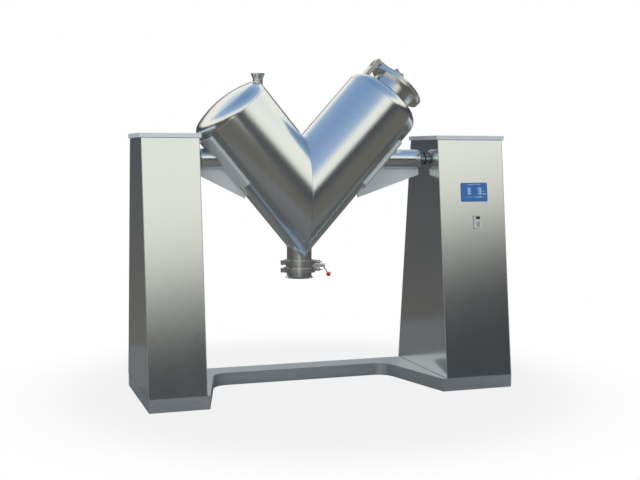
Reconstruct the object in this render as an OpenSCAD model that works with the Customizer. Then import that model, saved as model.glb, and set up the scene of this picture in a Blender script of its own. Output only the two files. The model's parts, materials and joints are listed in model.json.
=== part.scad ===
// Vacuum V mixer: a V-shaped tumbling vessel between a bearing stand and a drive stand.
// +X runs along the tumbling axis towards the drive stand, -Y is the operator's side, +Z is up.
// The origin is on the floor under the middle of the machine.

/* [Stands] */
// Height of the stands, floor to top of cap
stand_height = 1600; // [1560:5:1700]
// Clear width between the two stands
stand_gap = 1530; // [1520:5:1700]
// Width of the bearing stand
left_width = 340; // [320:5:420]
// Width of the drive stand
drive_width = 450; // [440:5:560]
// Depth of both stands under the cap
top_depth = 420; // [410:5:480]
// Depth of both stands on the plinth
base_depth = 780; // [760:5:900]
// Height of the plinths and the cross beam
plinth_height = 80; // [60:2:110]
// Depth of the cross beam
beam_depth = 170; // [120:5:200]
// Distance of the beam's back face in front of the plinths' back ends
beam_inset = 17; // [10:1:40]
// Thickness of the stainless cladding
sheet_t = 3; // [2:0.5:4]

/* [Vessel] */
// Distance of the tumbling axis below the tops of the stands
axis_drop = 150; // [135:1:160]
// Outer diameter of both legs
leg_diameter = 510; // [490:2:520]
// Left leg, from the V's vertex to its dished end
left_leg_length = 688; // [660:2:700]
// Right leg, from the V's vertex to its dished end
right_leg_length = 792; // [760:2:800]
// Lean of the left leg from upright, in degrees
left_lean = 40; // [39:0.5:40.5]
// Lean of the right leg from upright, in degrees
right_lean = 42; // [41:0.5:42.5]
// Distance of the vertex below the tumbling axis
vertex_drop = 247; // [235:1:260]
// Distance of the vertex to the left of the middle between the stands
vertex_offset = 78; // [70:1:84]
// Wall of the vessel
shell_t = 6; // [4:0.5:8]
// Crown radius of the dished ends
crown_radius = 650; // [560:5:720]
// Knuckle radius of the dished ends
knuckle_radius = 75; // [60:1:85]

/* [Manway] */
// Clear bore of the manway
manway_bore = 276; // [250:2:290]
// Diameter of the lid
lid_diameter = 370; // [366:1:374]
// Height of the manway's rim above the end of the leg
manway_rise = 168; // [160:1:176]

/* [Outlet] */
// Outer diameter of the outlet neck
outlet_diameter = 156; // [140:1:160]
// Diameter of the ferrules on the outlet
ferrule_diameter = 178; // [176:1:184]
// Length of the discharge spout
spout_length = 48; // [40:1:70]
// Distance from the valve's stem to the middle of the lever's ball
lever_reach = 98; // [90:1:120]

/* [Drive] */
// Pitch of the roller chain
chain_pitch = 25.4; // [25.4]
// Teeth on the vessel's sprocket
driven_teeth = 30; // [30]
// Teeth on the reducer's sprocket
drive_teeth = 17; // [17]
// Links in the chain
chain_links = 72; // [70:2:74]
// Diameter of the shafts in their bearings
shaft_diameter = 60; // [50:1:62]

/* [Access] */
// Width of the access door's opening
door_width = 380; // [340:5:390]
// Height of the access door's opening
door_height = 900; // [800:10:920]
// Width of the control panel
panel_width = 186; // [170:1:190]
// Height of the control panel
panel_height = 121; // [112:1:130]

/* [Hidden] */

// Smoothness of round shapes
$fn = 96;
fine = 160;
small = 40;

// Clearances
weld_gap = 0.2;
seat_gap = 0.3;
running_gap = 0.05;
cut = 1;
reach = 2 * stand_height;

// Stands
total_width = left_width + stand_gap + drive_width;
left_out = -total_width / 2;
left_in = left_out + left_width;
drive_out = total_width / 2;
drive_in = drive_out - drive_width;
cap_overhang = 11;
cap_lip = 26;
taper = (base_depth - top_depth) / 2 / (stand_height - cap_lip - plinth_height);
face_tilt = atan(taper);
plinth_ledge = 4;
plinth_half = base_depth / 2 + plinth_ledge;
plinth_wall = 5;
left_ledge = 16;
drive_ledge = 25;
flare = 175;
flare_fillet = 110;
beam_stub = 120;
beam_back = plinth_half - beam_inset;
beam_front = beam_back - beam_depth;
fillet_steps = 10;

// Vessel
leg_radius = leg_diameter / 2;
bore_radius = leg_radius - shell_t;
vertex_x = (left_in + drive_in) / 2 - vertex_offset;
axis_height = stand_height - axis_drop;
vertex_z = axis_height - vertex_drop;
mitre_lean = (right_lean - left_lean) / 2;
mitre_half = (right_lean + left_lean) / 2;
crown_drop = sqrt(pow(crown_radius - knuckle_radius, 2) - pow(leg_radius - knuckle_radius, 2));
knuckle_turn = asin((leg_radius - knuckle_radius) / (crown_radius - knuckle_radius));

// Trunnions and shafts
trunnion_radius = 62.5;
trunnion_wall = 6;
trunnion_round = 22;
trunnion_end_t = 12;
trunnion_stand_gap = 35;
left_tube_end = left_in + trunnion_stand_gap;
right_tube_end = drive_in - trunnion_stand_gap;
shaft_radius = shaft_diameter / 2;
hollow_bore = 20;
left_skin_x = vertex_x - vertex_drop * tan(left_lean) - leg_radius / cos(left_lean);
right_skin_x = vertex_x + vertex_drop * tan(right_lean) + leg_radius / cos(right_lean);
saddle_t = 12;
saddle_spread = 64;
saddle_length = 365;
saddle_radius = leg_radius + weld_gap + saddle_t;
gusset_t = 12;
gusset_lip = 38;
gusset_end_inset = 6;
gusset_root_share = 0.5;

// Bearings and their posts
post = 60;
post_wall = 5;
post_spread = 150;
post_plate_t = 20;
block_height = 70;
block_length = 240;
block_base_t = 22;
block_width = 60;
block_radius = 62;
bearing_radius = 50;
left_bearing_x = left_in - 75;
inner_bearing_x = drive_in + 65;
outer_bearing_x = drive_out - 70;
shelf_t = 12;
shelf_drop = 112;
seal_radius = 62;
seal_t = 8;
wall_hole = 38;

// Vacuum line
pipe_radius = 17;
pipe_bore = 14;
pipe_bend = 45;
elbow_radius = 24;
filter_x = left_skin_x + 293;
filter_radius = 45;
filter_length = 110;
filter_band = 8;
gland_radius = 46;
gland_length = 60;
gland_x = left_out + 108;
gland_plate_t = 10;
line_x = left_out + 50;
port_z = 900;
port_reach = 376;
port_flange = 32;
port_flange_t = 6;

// Chain drive
chain_x = drive_in + 190;
roller_radius = 7.94;
roller_width = 15.75;
link_plate_t = 3.25;
inner_link_height = 24;
outer_link_height = 20.8;
pin_radius = 3.97;
pin_gap = 0.2;
tooth_width = 14.6;
tooth_gap = 0.35;
driven_pitch_radius = chain_pitch / 2 / sin(180 / driven_teeth);
drive_pitch_radius = chain_pitch / 2 / sin(180 / drive_teeth);
mean_teeth = (driven_teeth + drive_teeth) / 2;
teeth_step = (driven_teeth - drive_teeth) / (2 * PI);
slack_links = chain_links - mean_teeth;
sprocket_distance = chain_pitch / 4 * (slack_links + sqrt(slack_links * slack_links - 8 * teeth_step * teeth_step));
output_z = axis_height - sprocket_distance;
shelf_z = output_z - shelf_drop - shelf_t;
wrap_lean = asin((driven_pitch_radius - drive_pitch_radius) / sprocket_distance);
driven_wrap = (90 + wrap_lean) * driven_teeth / 360;
straight_links = sprocket_distance * cos(wrap_lean) / chain_pitch;
sprocket_hub = 48;
sprocket_hub_length = 44;
web_radius_share = 0.62;
web_hole_share = 0.19;
web_holes = 6;
output_radius = 17.5;
output_hub = 30;

// Reducer and motor
reducer_x = drive_in + 95;
reducer_width = 90;
reducer_radius = 88;
reducer_foot = 104;
reducer_foot_t = 14;
worm_y = 62;
worm_radius = 44;
cover_radius = 62;
cover_t = 8;
motor_radius = 62;
motor_flange = 78;
motor_flange_t = 12;
motor_length = 200;
fin_count = 24;
fin_height = 9;
fin_t = 3;
fan_cover_length = 54;
fan_cover_radius = motor_radius + fin_height + seat_gap;
terminal_size = [56, 34, 78];

// Control panel
panel_x = drive_out - 211;
panel_z = stand_height - 359;
panel_t = 3;
panel_round = 12;
panel_cut_inset = 14;
button_size = [30, 54];
button_spread = 72;
button_lift = 6;
button_proud = 3;
button_depth = 12;
enclosure_depth = 56;
enclosure_wall = 2;
relay_x = drive_out - 196;
relay_z = stand_height - 546;
relay_size = [52, 86];
relay_proud = 12;
relay_depth = 50;
relay_rim = 5;
relay_window = [30, 18];
relay_window_lift = 24;
relay_key = [24, 30];
relay_key_drop = 18;

// Access door
door_bottom = 150;
door_lap = 10;
hinge_radius = 4.5;
hinge_pin_radius = 2.4;
hinge_height = 60;
hinge_axis_x = drive_out + 5.5;
hinge_axis_y = door_width / 2 + 15;
leaf_width = 24;
leaf_t = 2;
lock_inset = 14;
lock_radius = 9;
lock_head = 15;
cam_length = 38;
cam_width = 12;
cam_t = 3;
cam_back = 5;

// Manway
neck_wall = 4;
rim_t = 14;
rim_radius = lid_diameter / 2 - 2;
gasket_t = 3;
lid_t = 14;
lid_crown = 13;
lid_crown_radius_share = 0.66;
hinge_offset = 16;
lid_axis_r = lid_diameter / 2 + hinge_offset;
lid_axis_rise = 22;
lug_radius = 14;
lug_t = 14;
lug_gap = 1;
arm_width = 40;
arm_t = 16;
arm_lift = 3;
arm_end = 20;
lid_pin_radius = 6;
screw_r = 40;
screw_radius = 8;
screw_length = 34;
wing_hub = 15;
wing_hub_length = 20;
wing_radius = 15;
wing_spread = 22;
wing_t = 9;
bracket_depth = 28;

// Vacuum nozzle on the left leg
nozzle_radius = 31;
nozzle_wall = 3;
nozzle_rim = 41.5;
nozzle_rim_t = 8;
nozzle_height = 65;
nozzle_inset = 37;

// Outlet
neck_radius = outlet_diameter / 2;
outlet_wall = 3;
ferrule_radius = ferrule_diameter / 2;
ferrule_t = 8;
neck_drop = 12;
v_bottom_z = vertex_z - cos(mitre_lean) * leg_radius / sin(mitre_half);
outlet_x = vertex_x - sin(mitre_lean) * leg_radius / sin(mitre_half);
outlet_gasket_t = 2;
valve_height = 46;
outlet_z = v_bottom_z - neck_drop;
valve_z = outlet_z - outlet_gasket_t - valve_height / 2;
spout_z = valve_z - valve_height / 2 - outlet_gasket_t;
clamp_lip = 4;
waist_gap = 1;
waist_radius = ferrule_radius - clamp_lip - waist_gap;
seat_t = 6;
seat_height = 30;
disc_radius = neck_radius - seat_t;
disc_t = 6;
disc_boss = 10;
stem_radius = 6;
stem_boss = 10;
stem_boss_reach = 104;
clamp_radius = 100;
clamp_height = 27;
clamp_ear = 118;
clamp_ear_width = 30;
clamp_bolt_r = 124;
clamp_bolt_radius = 4;
clamp_lug_t = 10;
clamp_lug_height = 20;
clamp_lug_gap = 8;
clamp_bolt_length = 66;
clamp_wing = 22;
clamp_wing_hub = 8;
clamp_wing_t = 5;
clamp_nut_length = 14;
lever_hub = 11;
lever_hub_start = 110;
lever_hub_end = 168;
lever_rod = 4;
lever_dip = 29;
lever_splay = 9;
ball_radius = 14;

// Depth of a stand's cladding at a height
function depth_at(z) = base_depth - 2 * taper * (z - plinth_height);

// Points of a rounded corner at b, between the lines towards a and c
function unit(v) = v / norm(v);
function round_corner(a, b, c, r) =
    let (u = unit(a - b), v = unit(c - b), half = acos(u * v) / 2, mid = unit(u + v),
         centre = b + mid * r / sin(half), start = -mid * cos(90 - half) * r)
    [for (i = [0 : fillet_steps])
        let (w = b + u * r / tan(half) - centre, t = b + v * r / tan(half) - centre,
             k = i / fillet_steps, turn = 180 - 2 * half)
        centre + (w * sin((1 - k) * turn) + t * sin(k * turn)) / sin(turn)];

// Frames of reference
module at_vertex() {
    translate([vertex_x, 0, vertex_z]) children();
}

module along_left() {
    at_vertex() rotate([0, -left_lean, 0]) children();
}

module along_right() {
    at_vertex() rotate([0, right_lean, 0]) children();
}

module at_axis(x) {
    translate([x, 0, axis_height]) rotate([0, 90, 0]) children();
}

module at_outlet(z) {
    translate([outlet_x, 0, z]) children();
}

module on_front(x, z) {
    translate([x, -depth_at(z) / 2, z]) rotate([90 - face_tilt, 0, 0]) children();
}

module profile_x(length) {
    rotate([90, 0, 90]) linear_extrude(length) children();
}

// Plinths, beam, cladding and caps
module plinth_outline(inner, out, side, ledge, inset) {
    front = [inner - side * (ledge - inset), -plinth_half + inset];
    corner = [inner - side * (flare - inset), beam_front + inset];
    beam_end = [inner - side * (flare + beam_stub), beam_front + inset];
    polygon(concat(
        [[out - side * inset, -plinth_half + inset], front],
        round_corner(front, corner, beam_end, flare_fillet),
        [beam_end, [beam_end[0], beam_back - inset], [inner + side * inset, beam_back - inset],
         [inner + side * inset, plinth_half - inset], [out - side * inset, plinth_half - inset]]));
}

module plinth(inner, out, side, ledge) {
    difference() {
        linear_extrude(plinth_height) plinth_outline(inner, out, side, ledge, 0);
        translate([0, 0, -cut]) linear_extrude(plinth_height - plinth_wall + cut)
            plinth_outline(inner, out, side, ledge, plinth_wall);
    }
}

module left_plinth() {
    color("silver") plinth(left_in, left_out, -1, left_ledge);
}

module drive_plinth() {
    color("silver") plinth(drive_in, drive_out, 1, drive_ledge);
}

module cross_beam() {
    start = left_in + flare + beam_stub;
    length = drive_in - flare - beam_stub - start;
    color("silver") difference() {
        translate([start, beam_front, 0]) cube([length, beam_depth, plinth_height]);
        translate([start - cut, beam_front + plinth_wall, -cut])
            cube([length + 2 * cut, beam_depth - 2 * plinth_wall, plinth_height - plinth_wall + cut]);
    }
}

module stand_section(inset, below, above) {
    low = plinth_height - below;
    high = stand_height - sheet_t + above;
    half_low = depth_at(low) / 2 - inset;
    half_high = depth_at(high) / 2 - inset;
    polygon([[-half_low, low], [half_low, low], [half_high, high], [-half_high, high]]);
}

module stand_box(x, width) {
    difference() {
        translate([x, 0, 0]) profile_x(width) stand_section(0, 0, 0);
        translate([x + sheet_t, 0, 0]) profile_x(width - 2 * sheet_t) stand_section(sheet_t, cut, cut);
    }
}

module left_stand_shell() {
    color("gainsboro") difference() {
        stand_box(left_out, left_width);
        at_axis(left_in - sheet_t - cut) cylinder(r = wall_hole, h = sheet_t + 2 * cut);
        translate([line_x, 0, port_z]) rotate([-90, 0, 0])
            cylinder(r = pipe_radius + weld_gap, h = base_depth, $fn = small);
    }
}

module drive_stand_shell() {
    color("gainsboro") difference() {
        stand_box(drive_out - drive_width, drive_width);
        at_axis(drive_in - cut) cylinder(r = wall_hole, h = sheet_t + 2 * cut);
        translate([drive_out - sheet_t - cut, -door_width / 2, door_bottom])
            cube([sheet_t + 2 * cut, door_width, door_height]);
        on_front(panel_x, panel_z) panel_cut();
        on_front(relay_x, relay_z) relay_cut(relay_rim);
    }
}

module cap(x, width) {
    depth = top_depth + 2 * cap_overhang;
    translate([x - cap_overhang, -depth / 2, stand_height - cap_lip]) difference() {
        cube([width + 2 * cap_overhang, depth, cap_lip]);
        translate([sheet_t, sheet_t, -cut])
            cube([width + 2 * (cap_overhang - sheet_t), depth - 2 * sheet_t, cap_lip - sheet_t + cut]);
    }
}

module left_cap() {
    color("whitesmoke") cap(left_out, left_width);
}

module drive_cap() {
    color("whitesmoke") cap(drive_in, drive_width);
}

// Posts that carry the bearings
module post_pair(x) {
    top = axis_height - block_height - post_plate_t;
    for (side = [-1, 1]) translate([x - post / 2, side * (post_spread + post / 2) - post / 2, plinth_height])
        difference() {
            cube([post, post, top - plinth_height]);
            translate([post_wall, post_wall, post_wall])
                cube([post - 2 * post_wall, post - 2 * post_wall, top - plinth_height - 2 * post_wall]);
        }
    translate([x - post / 2, -post_spread - post, top]) cube([post, 2 * (post_spread + post), post_plate_t]);
}

module left_bearing_posts() {
    top = axis_height - block_height;
    color("slategray") {
        post_pair(left_bearing_x);
        translate([gland_x - gland_plate_t, -post_spread - post, top - post_plate_t])
            cube([left_bearing_x - post / 2 - gland_x + gland_plate_t, 2 * (post_spread + post), post_plate_t]);
        translate([gland_x - gland_plate_t, -gland_radius, top])
            cube([gland_plate_t, 2 * gland_radius, block_height - gland_radius - seat_gap]);
    }
}

module drive_bearing_posts() {
    start = inner_bearing_x + post / 2;
    color("slategray") {
        post_pair(inner_bearing_x);
        post_pair(outer_bearing_x);
        difference() {
            translate([inner_bearing_x - post / 2, -post_spread, shelf_z])
                cube([outer_bearing_x - inner_bearing_x + post, 2 * post_spread, shelf_t]);
            translate([reducer_x, worm_y, shelf_z - cut]) cylinder(r = worm_radius + seat_gap, h = shelf_t + 2 * cut);
        }
    }
}

module pillow_block(x) {
    base_z = axis_height - block_height;
    difference() {
        union() {
            translate([x - block_width / 2, -block_length / 2, base_z]) cube([block_width, block_length, block_base_t]);
            at_axis(x - block_width / 2) cylinder(r = block_radius, h = block_width);
            translate([x - block_width / 2, -block_radius, base_z]) cube([block_width, 2 * block_radius, block_height]);
        }
        at_axis(x - block_width / 2 - cut) cylinder(r = bearing_radius, h = block_width + 2 * cut);
        for (side = [-1, 1]) translate([x, side * (block_length / 2 - block_base_t), base_z - cut])
            cylinder(r = block_base_t / 3, h = block_base_t + 2 * cut, $fn = small);
    }
}

module bearing(x) {
    race_t = (bearing_radius - shaft_radius) / 3;
    at_axis(x - block_width / 2) difference() {
        cylinder(r = bearing_radius - weld_gap, h = block_width);
        translate([0, 0, -cut]) cylinder(r = shaft_radius + running_gap, h = block_width + 2 * cut);
        for (z = [-cut, block_width - race_t]) translate([0, 0, z]) difference() {
            cylinder(r = bearing_radius - race_t, h = race_t + cut);
            translate([0, 0, -cut]) cylinder(r = shaft_radius + race_t, h = race_t + 3 * cut);
        }
    }
}

module left_pillow_block() {
    color("seagreen") pillow_block(left_bearing_x);
}

module drive_pillow_blocks() {
    color("seagreen") {
        pillow_block(inner_bearing_x);
        pillow_block(outer_bearing_x);
    }
}

module left_bearing() {
    color("lightsteelblue") bearing(left_bearing_x);
}

module drive_bearings() {
    color("lightsteelblue") {
        bearing(inner_bearing_x);
        bearing(outer_bearing_x);
    }
}

module wall_seal(x) {
    at_axis(x) difference() {
        cylinder(r = seal_radius, h = seal_t);
        translate([0, 0, -cut]) cylinder(r = shaft_radius + seat_gap, h = seal_t + 2 * cut);
    }
}

module left_wall_seal() {
    color("dimgray") wall_seal(left_in - sheet_t - seal_t);
}

module drive_wall_seal() {
    color("dimgray") wall_seal(drive_in + sheet_t);
}

// A bend of the vacuum pipe, from +Z round towards +X
module pipe_bend(r) {
    translate([pipe_bend, 0, 0]) rotate([90, 0, 0]) mirror([1, 0, 0])
        rotate_extrude(angle = 90) translate([pipe_bend, 0]) circle(r = r, $fn = small);
}

// Stationary suction pipe through the hollow shaft, with its filter held upright inside the vessel
module suction_route(r, over) {
    start = gland_x - gland_length / 2;
    at_axis(start - over) cylinder(r = r, h = filter_x - pipe_bend - start + over, $fn = small);
    translate([filter_x - pipe_bend, 0, axis_height]) rotate([0, 90, 0]) rotate([0, 0, 180]) pipe_bend(r);
    translate([filter_x, 0, axis_height + pipe_bend]) cylinder(r = r, h = filter_band + over, $fn = small);
}

module vacuum_pipe() {
    color("lightgray") difference() {
        suction_route(pipe_radius, 0);
        suction_route(pipe_bore, cut);
    }
}

module vacuum_filter() {
    low = axis_height + pipe_bend + filter_band;
    color("white") translate([filter_x, 0, low]) difference() {
        union() {
            cylinder(r = filter_radius, h = filter_length);
            for (z = [0, filter_length - filter_band]) translate([0, 0, z])
                cylinder(r = filter_radius + shell_t / 2, h = filter_band);
        }
        translate([0, 0, -cut]) cylinder(r = pipe_bore, h = filter_band + 2 * cut);
        translate([0, 0, filter_band]) cylinder(r = filter_radius - shell_t, h = filter_length - 2 * filter_band);
    }
}

module vacuum_gland() {
    start = gland_x - gland_length / 2;
    color("lightslategray") at_axis(start) difference() {
        union() {
            cylinder(r = gland_radius - port_flange_t, h = gland_length);
            cylinder(r = gland_radius, h = gland_length / 3);
            translate([0, 0, gland_length * 2 / 3]) cylinder(r = gland_radius, h = gland_length / 3);
        }
        translate([0, 0, gland_length / 3]) cylinder(r = shaft_radius + running_gap, h = gland_length);
        translate([0, 0, -cut]) cylinder(r = pipe_radius + weld_gap, h = gland_length);
    }
}

// Fixed pipe from the gland down the bearing stand and out of its back, with an elbow at each corner
module line_route(r, elbow, over) {
    start = gland_x - gland_length / 2;
    translate([line_x, 0, axis_height]) rotate([0, 90, 0]) cylinder(r = r, h = start - line_x + over, $fn = small);
    translate([line_x, 0, port_z]) cylinder(r = r, h = axis_height - port_z, $fn = small);
    translate([line_x, 0, port_z]) rotate([-90, 0, 0]) cylinder(r = r, h = port_reach + over, $fn = small);
    for (z = [port_z, axis_height]) translate([line_x, 0, z]) sphere(r = elbow, $fn = small);
}

module vacuum_line() {
    color("lightgray") difference() {
        union() {
            line_route(pipe_radius, elbow_radius, 0);
            translate([line_x, port_reach - port_flange_t, port_z]) rotate([-90, 0, 0])
                cylinder(r = port_flange, h = port_flange_t);
        }
        line_route(pipe_bore, pipe_bore, cut);
    }
}

// Worm reducer and its motor hanging under the shelf
module reducer() {
    foot_z = shelf_z + shelf_t;
    color("royalblue") difference() {
        union() {
            translate([reducer_x - reducer_width / 2, 0, output_z]) rotate([0, 90, 0])
                cylinder(r = reducer_radius, h = reducer_width);
            translate([reducer_x - reducer_width / 2 - cover_t, 0, output_z]) rotate([0, 90, 0])
                cylinder(r = cover_radius, h = reducer_width + 2 * cover_t);
            translate([reducer_x - reducer_width / 2, -reducer_foot, foot_z])
                cube([reducer_width, 2 * reducer_foot, reducer_foot_t]);
            translate([reducer_x - reducer_width / 2, -reducer_radius, foot_z])
                cube([reducer_width, 2 * reducer_radius, output_z - foot_z]);
            translate([reducer_x, worm_y, shelf_z]) cylinder(r = worm_radius, h = output_z - shelf_z + worm_radius);
        }
        translate([reducer_x - reducer_width, 0, output_z]) rotate([0, 90, 0])
            cylinder(r = output_radius + running_gap, h = 2 * reducer_width);
    }
}

module motor() {
    top = shelf_z;
    color("royalblue") translate([reducer_x, worm_y, top]) mirror([0, 0, 1]) {
        cylinder(r = motor_flange, h = motor_flange_t);
        cylinder(r = motor_radius, h = motor_length);
        for (i = [0 : fin_count - 1]) rotate([0, 0, i * 360 / fin_count])
            translate([motor_radius - fin_t, -fin_t / 2, 2 * motor_flange_t])
                cube([fin_height + fin_t, fin_t, motor_length - 3 * motor_flange_t]);
        translate([motor_radius - fin_t, -terminal_size[2] / 2, motor_length / 4])
            cube([terminal_size[1], terminal_size[2], terminal_size[0]]);
    }
}

module motor_fan_cover() {
    color("dimgray") translate([reducer_x, worm_y, shelf_z - motor_length + fan_cover_length / 3]) mirror([0, 0, 1])
        difference() {
            cylinder(r = fan_cover_radius + sheet_t, h = fan_cover_length);
            translate([0, 0, -cut]) cylinder(r = fan_cover_radius, h = fan_cover_length - sheet_t + cut);
            for (ring = [1 : 4]) for (a = [0 : 60 : 359]) rotate([0, 0, a])
                translate([ring * fan_cover_radius / 5, 0, fan_cover_length - 2 * sheet_t])
                    cylinder(r = fan_cover_radius / 14, h = 3 * sheet_t, $fn = small);
        }
}

// Sprocket blank with a seat for each roller, in the plane z = 0 with a seat at angle 0
module sprocket_profile(teeth, pitch_radius) {
    seat = roller_radius + tooth_gap;
    outer = chain_pitch / 2 * (0.6 + 1 / tan(180 / teeth));
    mouth = outer - pitch_radius + cut;
    difference() {
        circle(r = outer, $fn = fine);
        for (i = [0 : teeth - 1]) rotate(i * 360 / teeth) translate([pitch_radius, 0]) {
            circle(r = seat, $fn = small);
            polygon([[0, -seat], [mouth, -seat - mouth / 3], [mouth, seat + mouth / 3], [0, seat]]);
        }
    }
}

module driven_sprocket() {
    color("darkgray") at_axis(chain_x) rotate([0, 0, 180]) difference() {
        union() {
            translate([0, 0, -tooth_width / 2]) linear_extrude(tooth_width)
                sprocket_profile(driven_teeth, driven_pitch_radius);
            translate([0, 0, -sprocket_hub_length / 2]) cylinder(r = sprocket_hub, h = sprocket_hub_length);
        }
        translate([0, 0, -sprocket_hub_length]) cylinder(r = shaft_radius + weld_gap, h = 2 * sprocket_hub_length);
        for (i = [0 : web_holes - 1]) rotate([0, 0, i * 360 / web_holes])
            translate([driven_pitch_radius * web_radius_share, 0, -sprocket_hub_length])
                cylinder(r = driven_pitch_radius * web_hole_share, h = 2 * sprocket_hub_length, $fn = small);
    }
}

module output_sprocket() {
    shaft_start = reducer_x - reducer_width / 2;
    color("darkgray") translate([chain_x, 0, output_z]) rotate([0, 90, 0]) union() {
        translate([0, 0, -tooth_width / 2]) linear_extrude(tooth_width)
            sprocket_profile(drive_teeth, drive_pitch_radius);
        translate([0, 0, -sprocket_hub_length / 2]) cylinder(r = output_hub, h = sprocket_hub_length);
        translate([0, 0, shaft_start - chain_x])
            cylinder(r = output_radius, h = chain_x - shaft_start + sprocket_hub_length / 2 + output_radius);
    }
}

// Place of pin s along the chain, counted from the top of the driven sprocket, as [y, z]
function half_chain(s) =
    s <= driven_wrap
    ? let (a = 90 - s * 360 / driven_teeth)
      [driven_pitch_radius * cos(a), axis_height + driven_pitch_radius * sin(a)]
    : s <= driven_wrap + straight_links
    ? let (d = (s - driven_wrap) * chain_pitch)
      [driven_pitch_radius * cos(wrap_lean) - d * sin(wrap_lean),
       axis_height - driven_pitch_radius * sin(wrap_lean) - d * cos(wrap_lean)]
    : let (a = -90 + (chain_links / 2 - s) * 360 / drive_teeth)
      [drive_pitch_radius * cos(a), output_z + drive_pitch_radius * sin(a)];
function chain_pin(s) =
    s <= chain_links / 2 ? half_chain(s) : let (p = half_chain(chain_links - s)) [-p[0], p[1]];

module link_plate(height, hole) {
    difference() {
        union() {
            circle(d = height, $fn = small);
            translate([chain_pitch, 0]) circle(d = height, $fn = small);
            translate([0, -height / 2 + link_plate_t]) square([chain_pitch, height - 2 * link_plate_t]);
        }
        for (x = [0, chain_pitch]) if (hole > 0) translate([x, 0]) circle(r = hole, $fn = small);
    }
}

module inner_link() {
    for (side = [0, 1]) translate([0, 0, side * (roller_width + link_plate_t) - roller_width / 2 - link_plate_t])
        linear_extrude(link_plate_t) link_plate(inner_link_height, pin_radius + pin_gap);
    for (x = [0, chain_pitch]) translate([x, 0, -roller_width / 2]) linear_extrude(roller_width) difference() {
        circle(r = roller_radius, $fn = small);
        circle(r = pin_radius + pin_gap, $fn = small);
    }
}

module outer_link() {
    inside = roller_width / 2 + link_plate_t + pin_gap;
    for (z = [-inside - link_plate_t, inside]) translate([0, 0, z])
        linear_extrude(link_plate_t) link_plate(outer_link_height, 0);
    for (x = [0, chain_pitch]) translate([x, 0, -inside - link_plate_t])
        cylinder(r = pin_radius, h = 2 * (inside + link_plate_t), $fn = small);
}

module drive_chain() {
    color("gray") for (i = [0 : chain_links - 1]) {
        a = chain_pin(i);
        b = chain_pin((i + 1) % chain_links);
        translate([chain_x, a[0], a[1]]) rotate([90, 0, 90]) rotate([0, 0, atan2(b[1] - a[1], b[0] - a[0])])
            if (i % 2 == 0) inner_link();
            else outer_link();
    }
}

// Control panel on the front of the drive stand
module rounded_plate(w, h, t, r) {
    linear_extrude(t) union() {
        square([w - 2 * r, h], center = true);
        square([w, h - 2 * r], center = true);
        for (x = [-1, 1]) for (y = [-1, 1]) translate([x * (w / 2 - r), y * (h / 2 - r)]) circle(r = r, $fn = small);
    }
}

module panel_cut() {
    translate([0, 0, -2 * sheet_t - cut]) linear_extrude(4 * sheet_t)
        square([panel_width - 2 * panel_cut_inset, panel_height - 2 * panel_cut_inset], center = true);
}

module relay_cut(inset) {
    translate([0, 0, -2 * sheet_t - cut]) linear_extrude(4 * sheet_t)
        square([relay_size[0] - 2 * inset, relay_size[1] - 2 * inset], center = true);
}

module button_holes(gap) {
    for (side = [-1, 1]) translate([side * button_spread / 2, button_lift])
        square([button_size[0] + 2 * gap, button_size[1] + 2 * gap], center = true);
}

module control_panel() {
    color("steelblue") on_front(panel_x, panel_z) difference() {
        rounded_plate(panel_width, panel_height, panel_t, panel_round);
        translate([0, 0, -cut]) linear_extrude(panel_t + 2 * cut) button_holes(seat_gap);
    }
}

module control_enclosure() {
    w = panel_width - panel_cut_inset;
    h = panel_height - panel_cut_inset;
    color("lightgray") on_front(panel_x, panel_z) difference() {
        translate([-w / 2, -h / 2, -sheet_t - enclosure_depth]) cube([w, h, enclosure_depth - seat_gap]);
        translate([enclosure_wall - w / 2, enclosure_wall - h / 2, enclosure_wall - sheet_t - enclosure_depth])
            cube([w - 2 * enclosure_wall, h - 2 * enclosure_wall, enclosure_depth]);
    }
}

module button(side) {
    on_front(panel_x, panel_z) translate([side * button_spread / 2, button_lift, -button_depth])
        rounded_plate(button_size[0], button_size[1], button_depth + panel_t + button_proud, button_proud);
}

module start_button() {
    color("lightsteelblue") button(-1);
}

module stop_button() {
    color("lightsteelblue") button(1);
}

module timer_relay() {
    color("silver") on_front(relay_x, relay_z) difference() {
        union() {
            rounded_plate(relay_size[0], relay_size[1], relay_proud, relay_rim);
            translate([0, 0, -relay_depth]) linear_extrude(relay_depth + cut)
                square([relay_size[0] - 2 * relay_rim - 2 * seat_gap, relay_size[1] - 2 * relay_rim - 2 * seat_gap],
                    center = true);
        }
        translate([0, relay_window_lift, relay_proud - relay_rim]) linear_extrude(relay_proud)
            square(relay_window, center = true);
        translate([0, -relay_key_drop, relay_proud - relay_rim]) linear_extrude(relay_proud)
            square(relay_key, center = true);
    }
}

// Access door on the outer side of the drive stand
function hinge_z(i) = door_bottom + door_height * (i == 0 ? 1 / 6 : 5 / 6) - hinge_height / 2;

module door_hinges() {
    third = hinge_height / 3;
    color("silver") for (i = [0, 1]) translate([0, 0, hinge_z(i)]) {
        for (z = [0, 2 * third]) {
            translate([hinge_axis_x, hinge_axis_y, z]) cylinder(r = hinge_radius, h = third, $fn = small);
            translate([drive_out, hinge_axis_y, z]) cube([leaf_t, leaf_width, third]);
        }
        translate([hinge_axis_x, hinge_axis_y, 0]) cylinder(r = hinge_pin_radius, h = hinge_height, $fn = small);
    }
}

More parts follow.
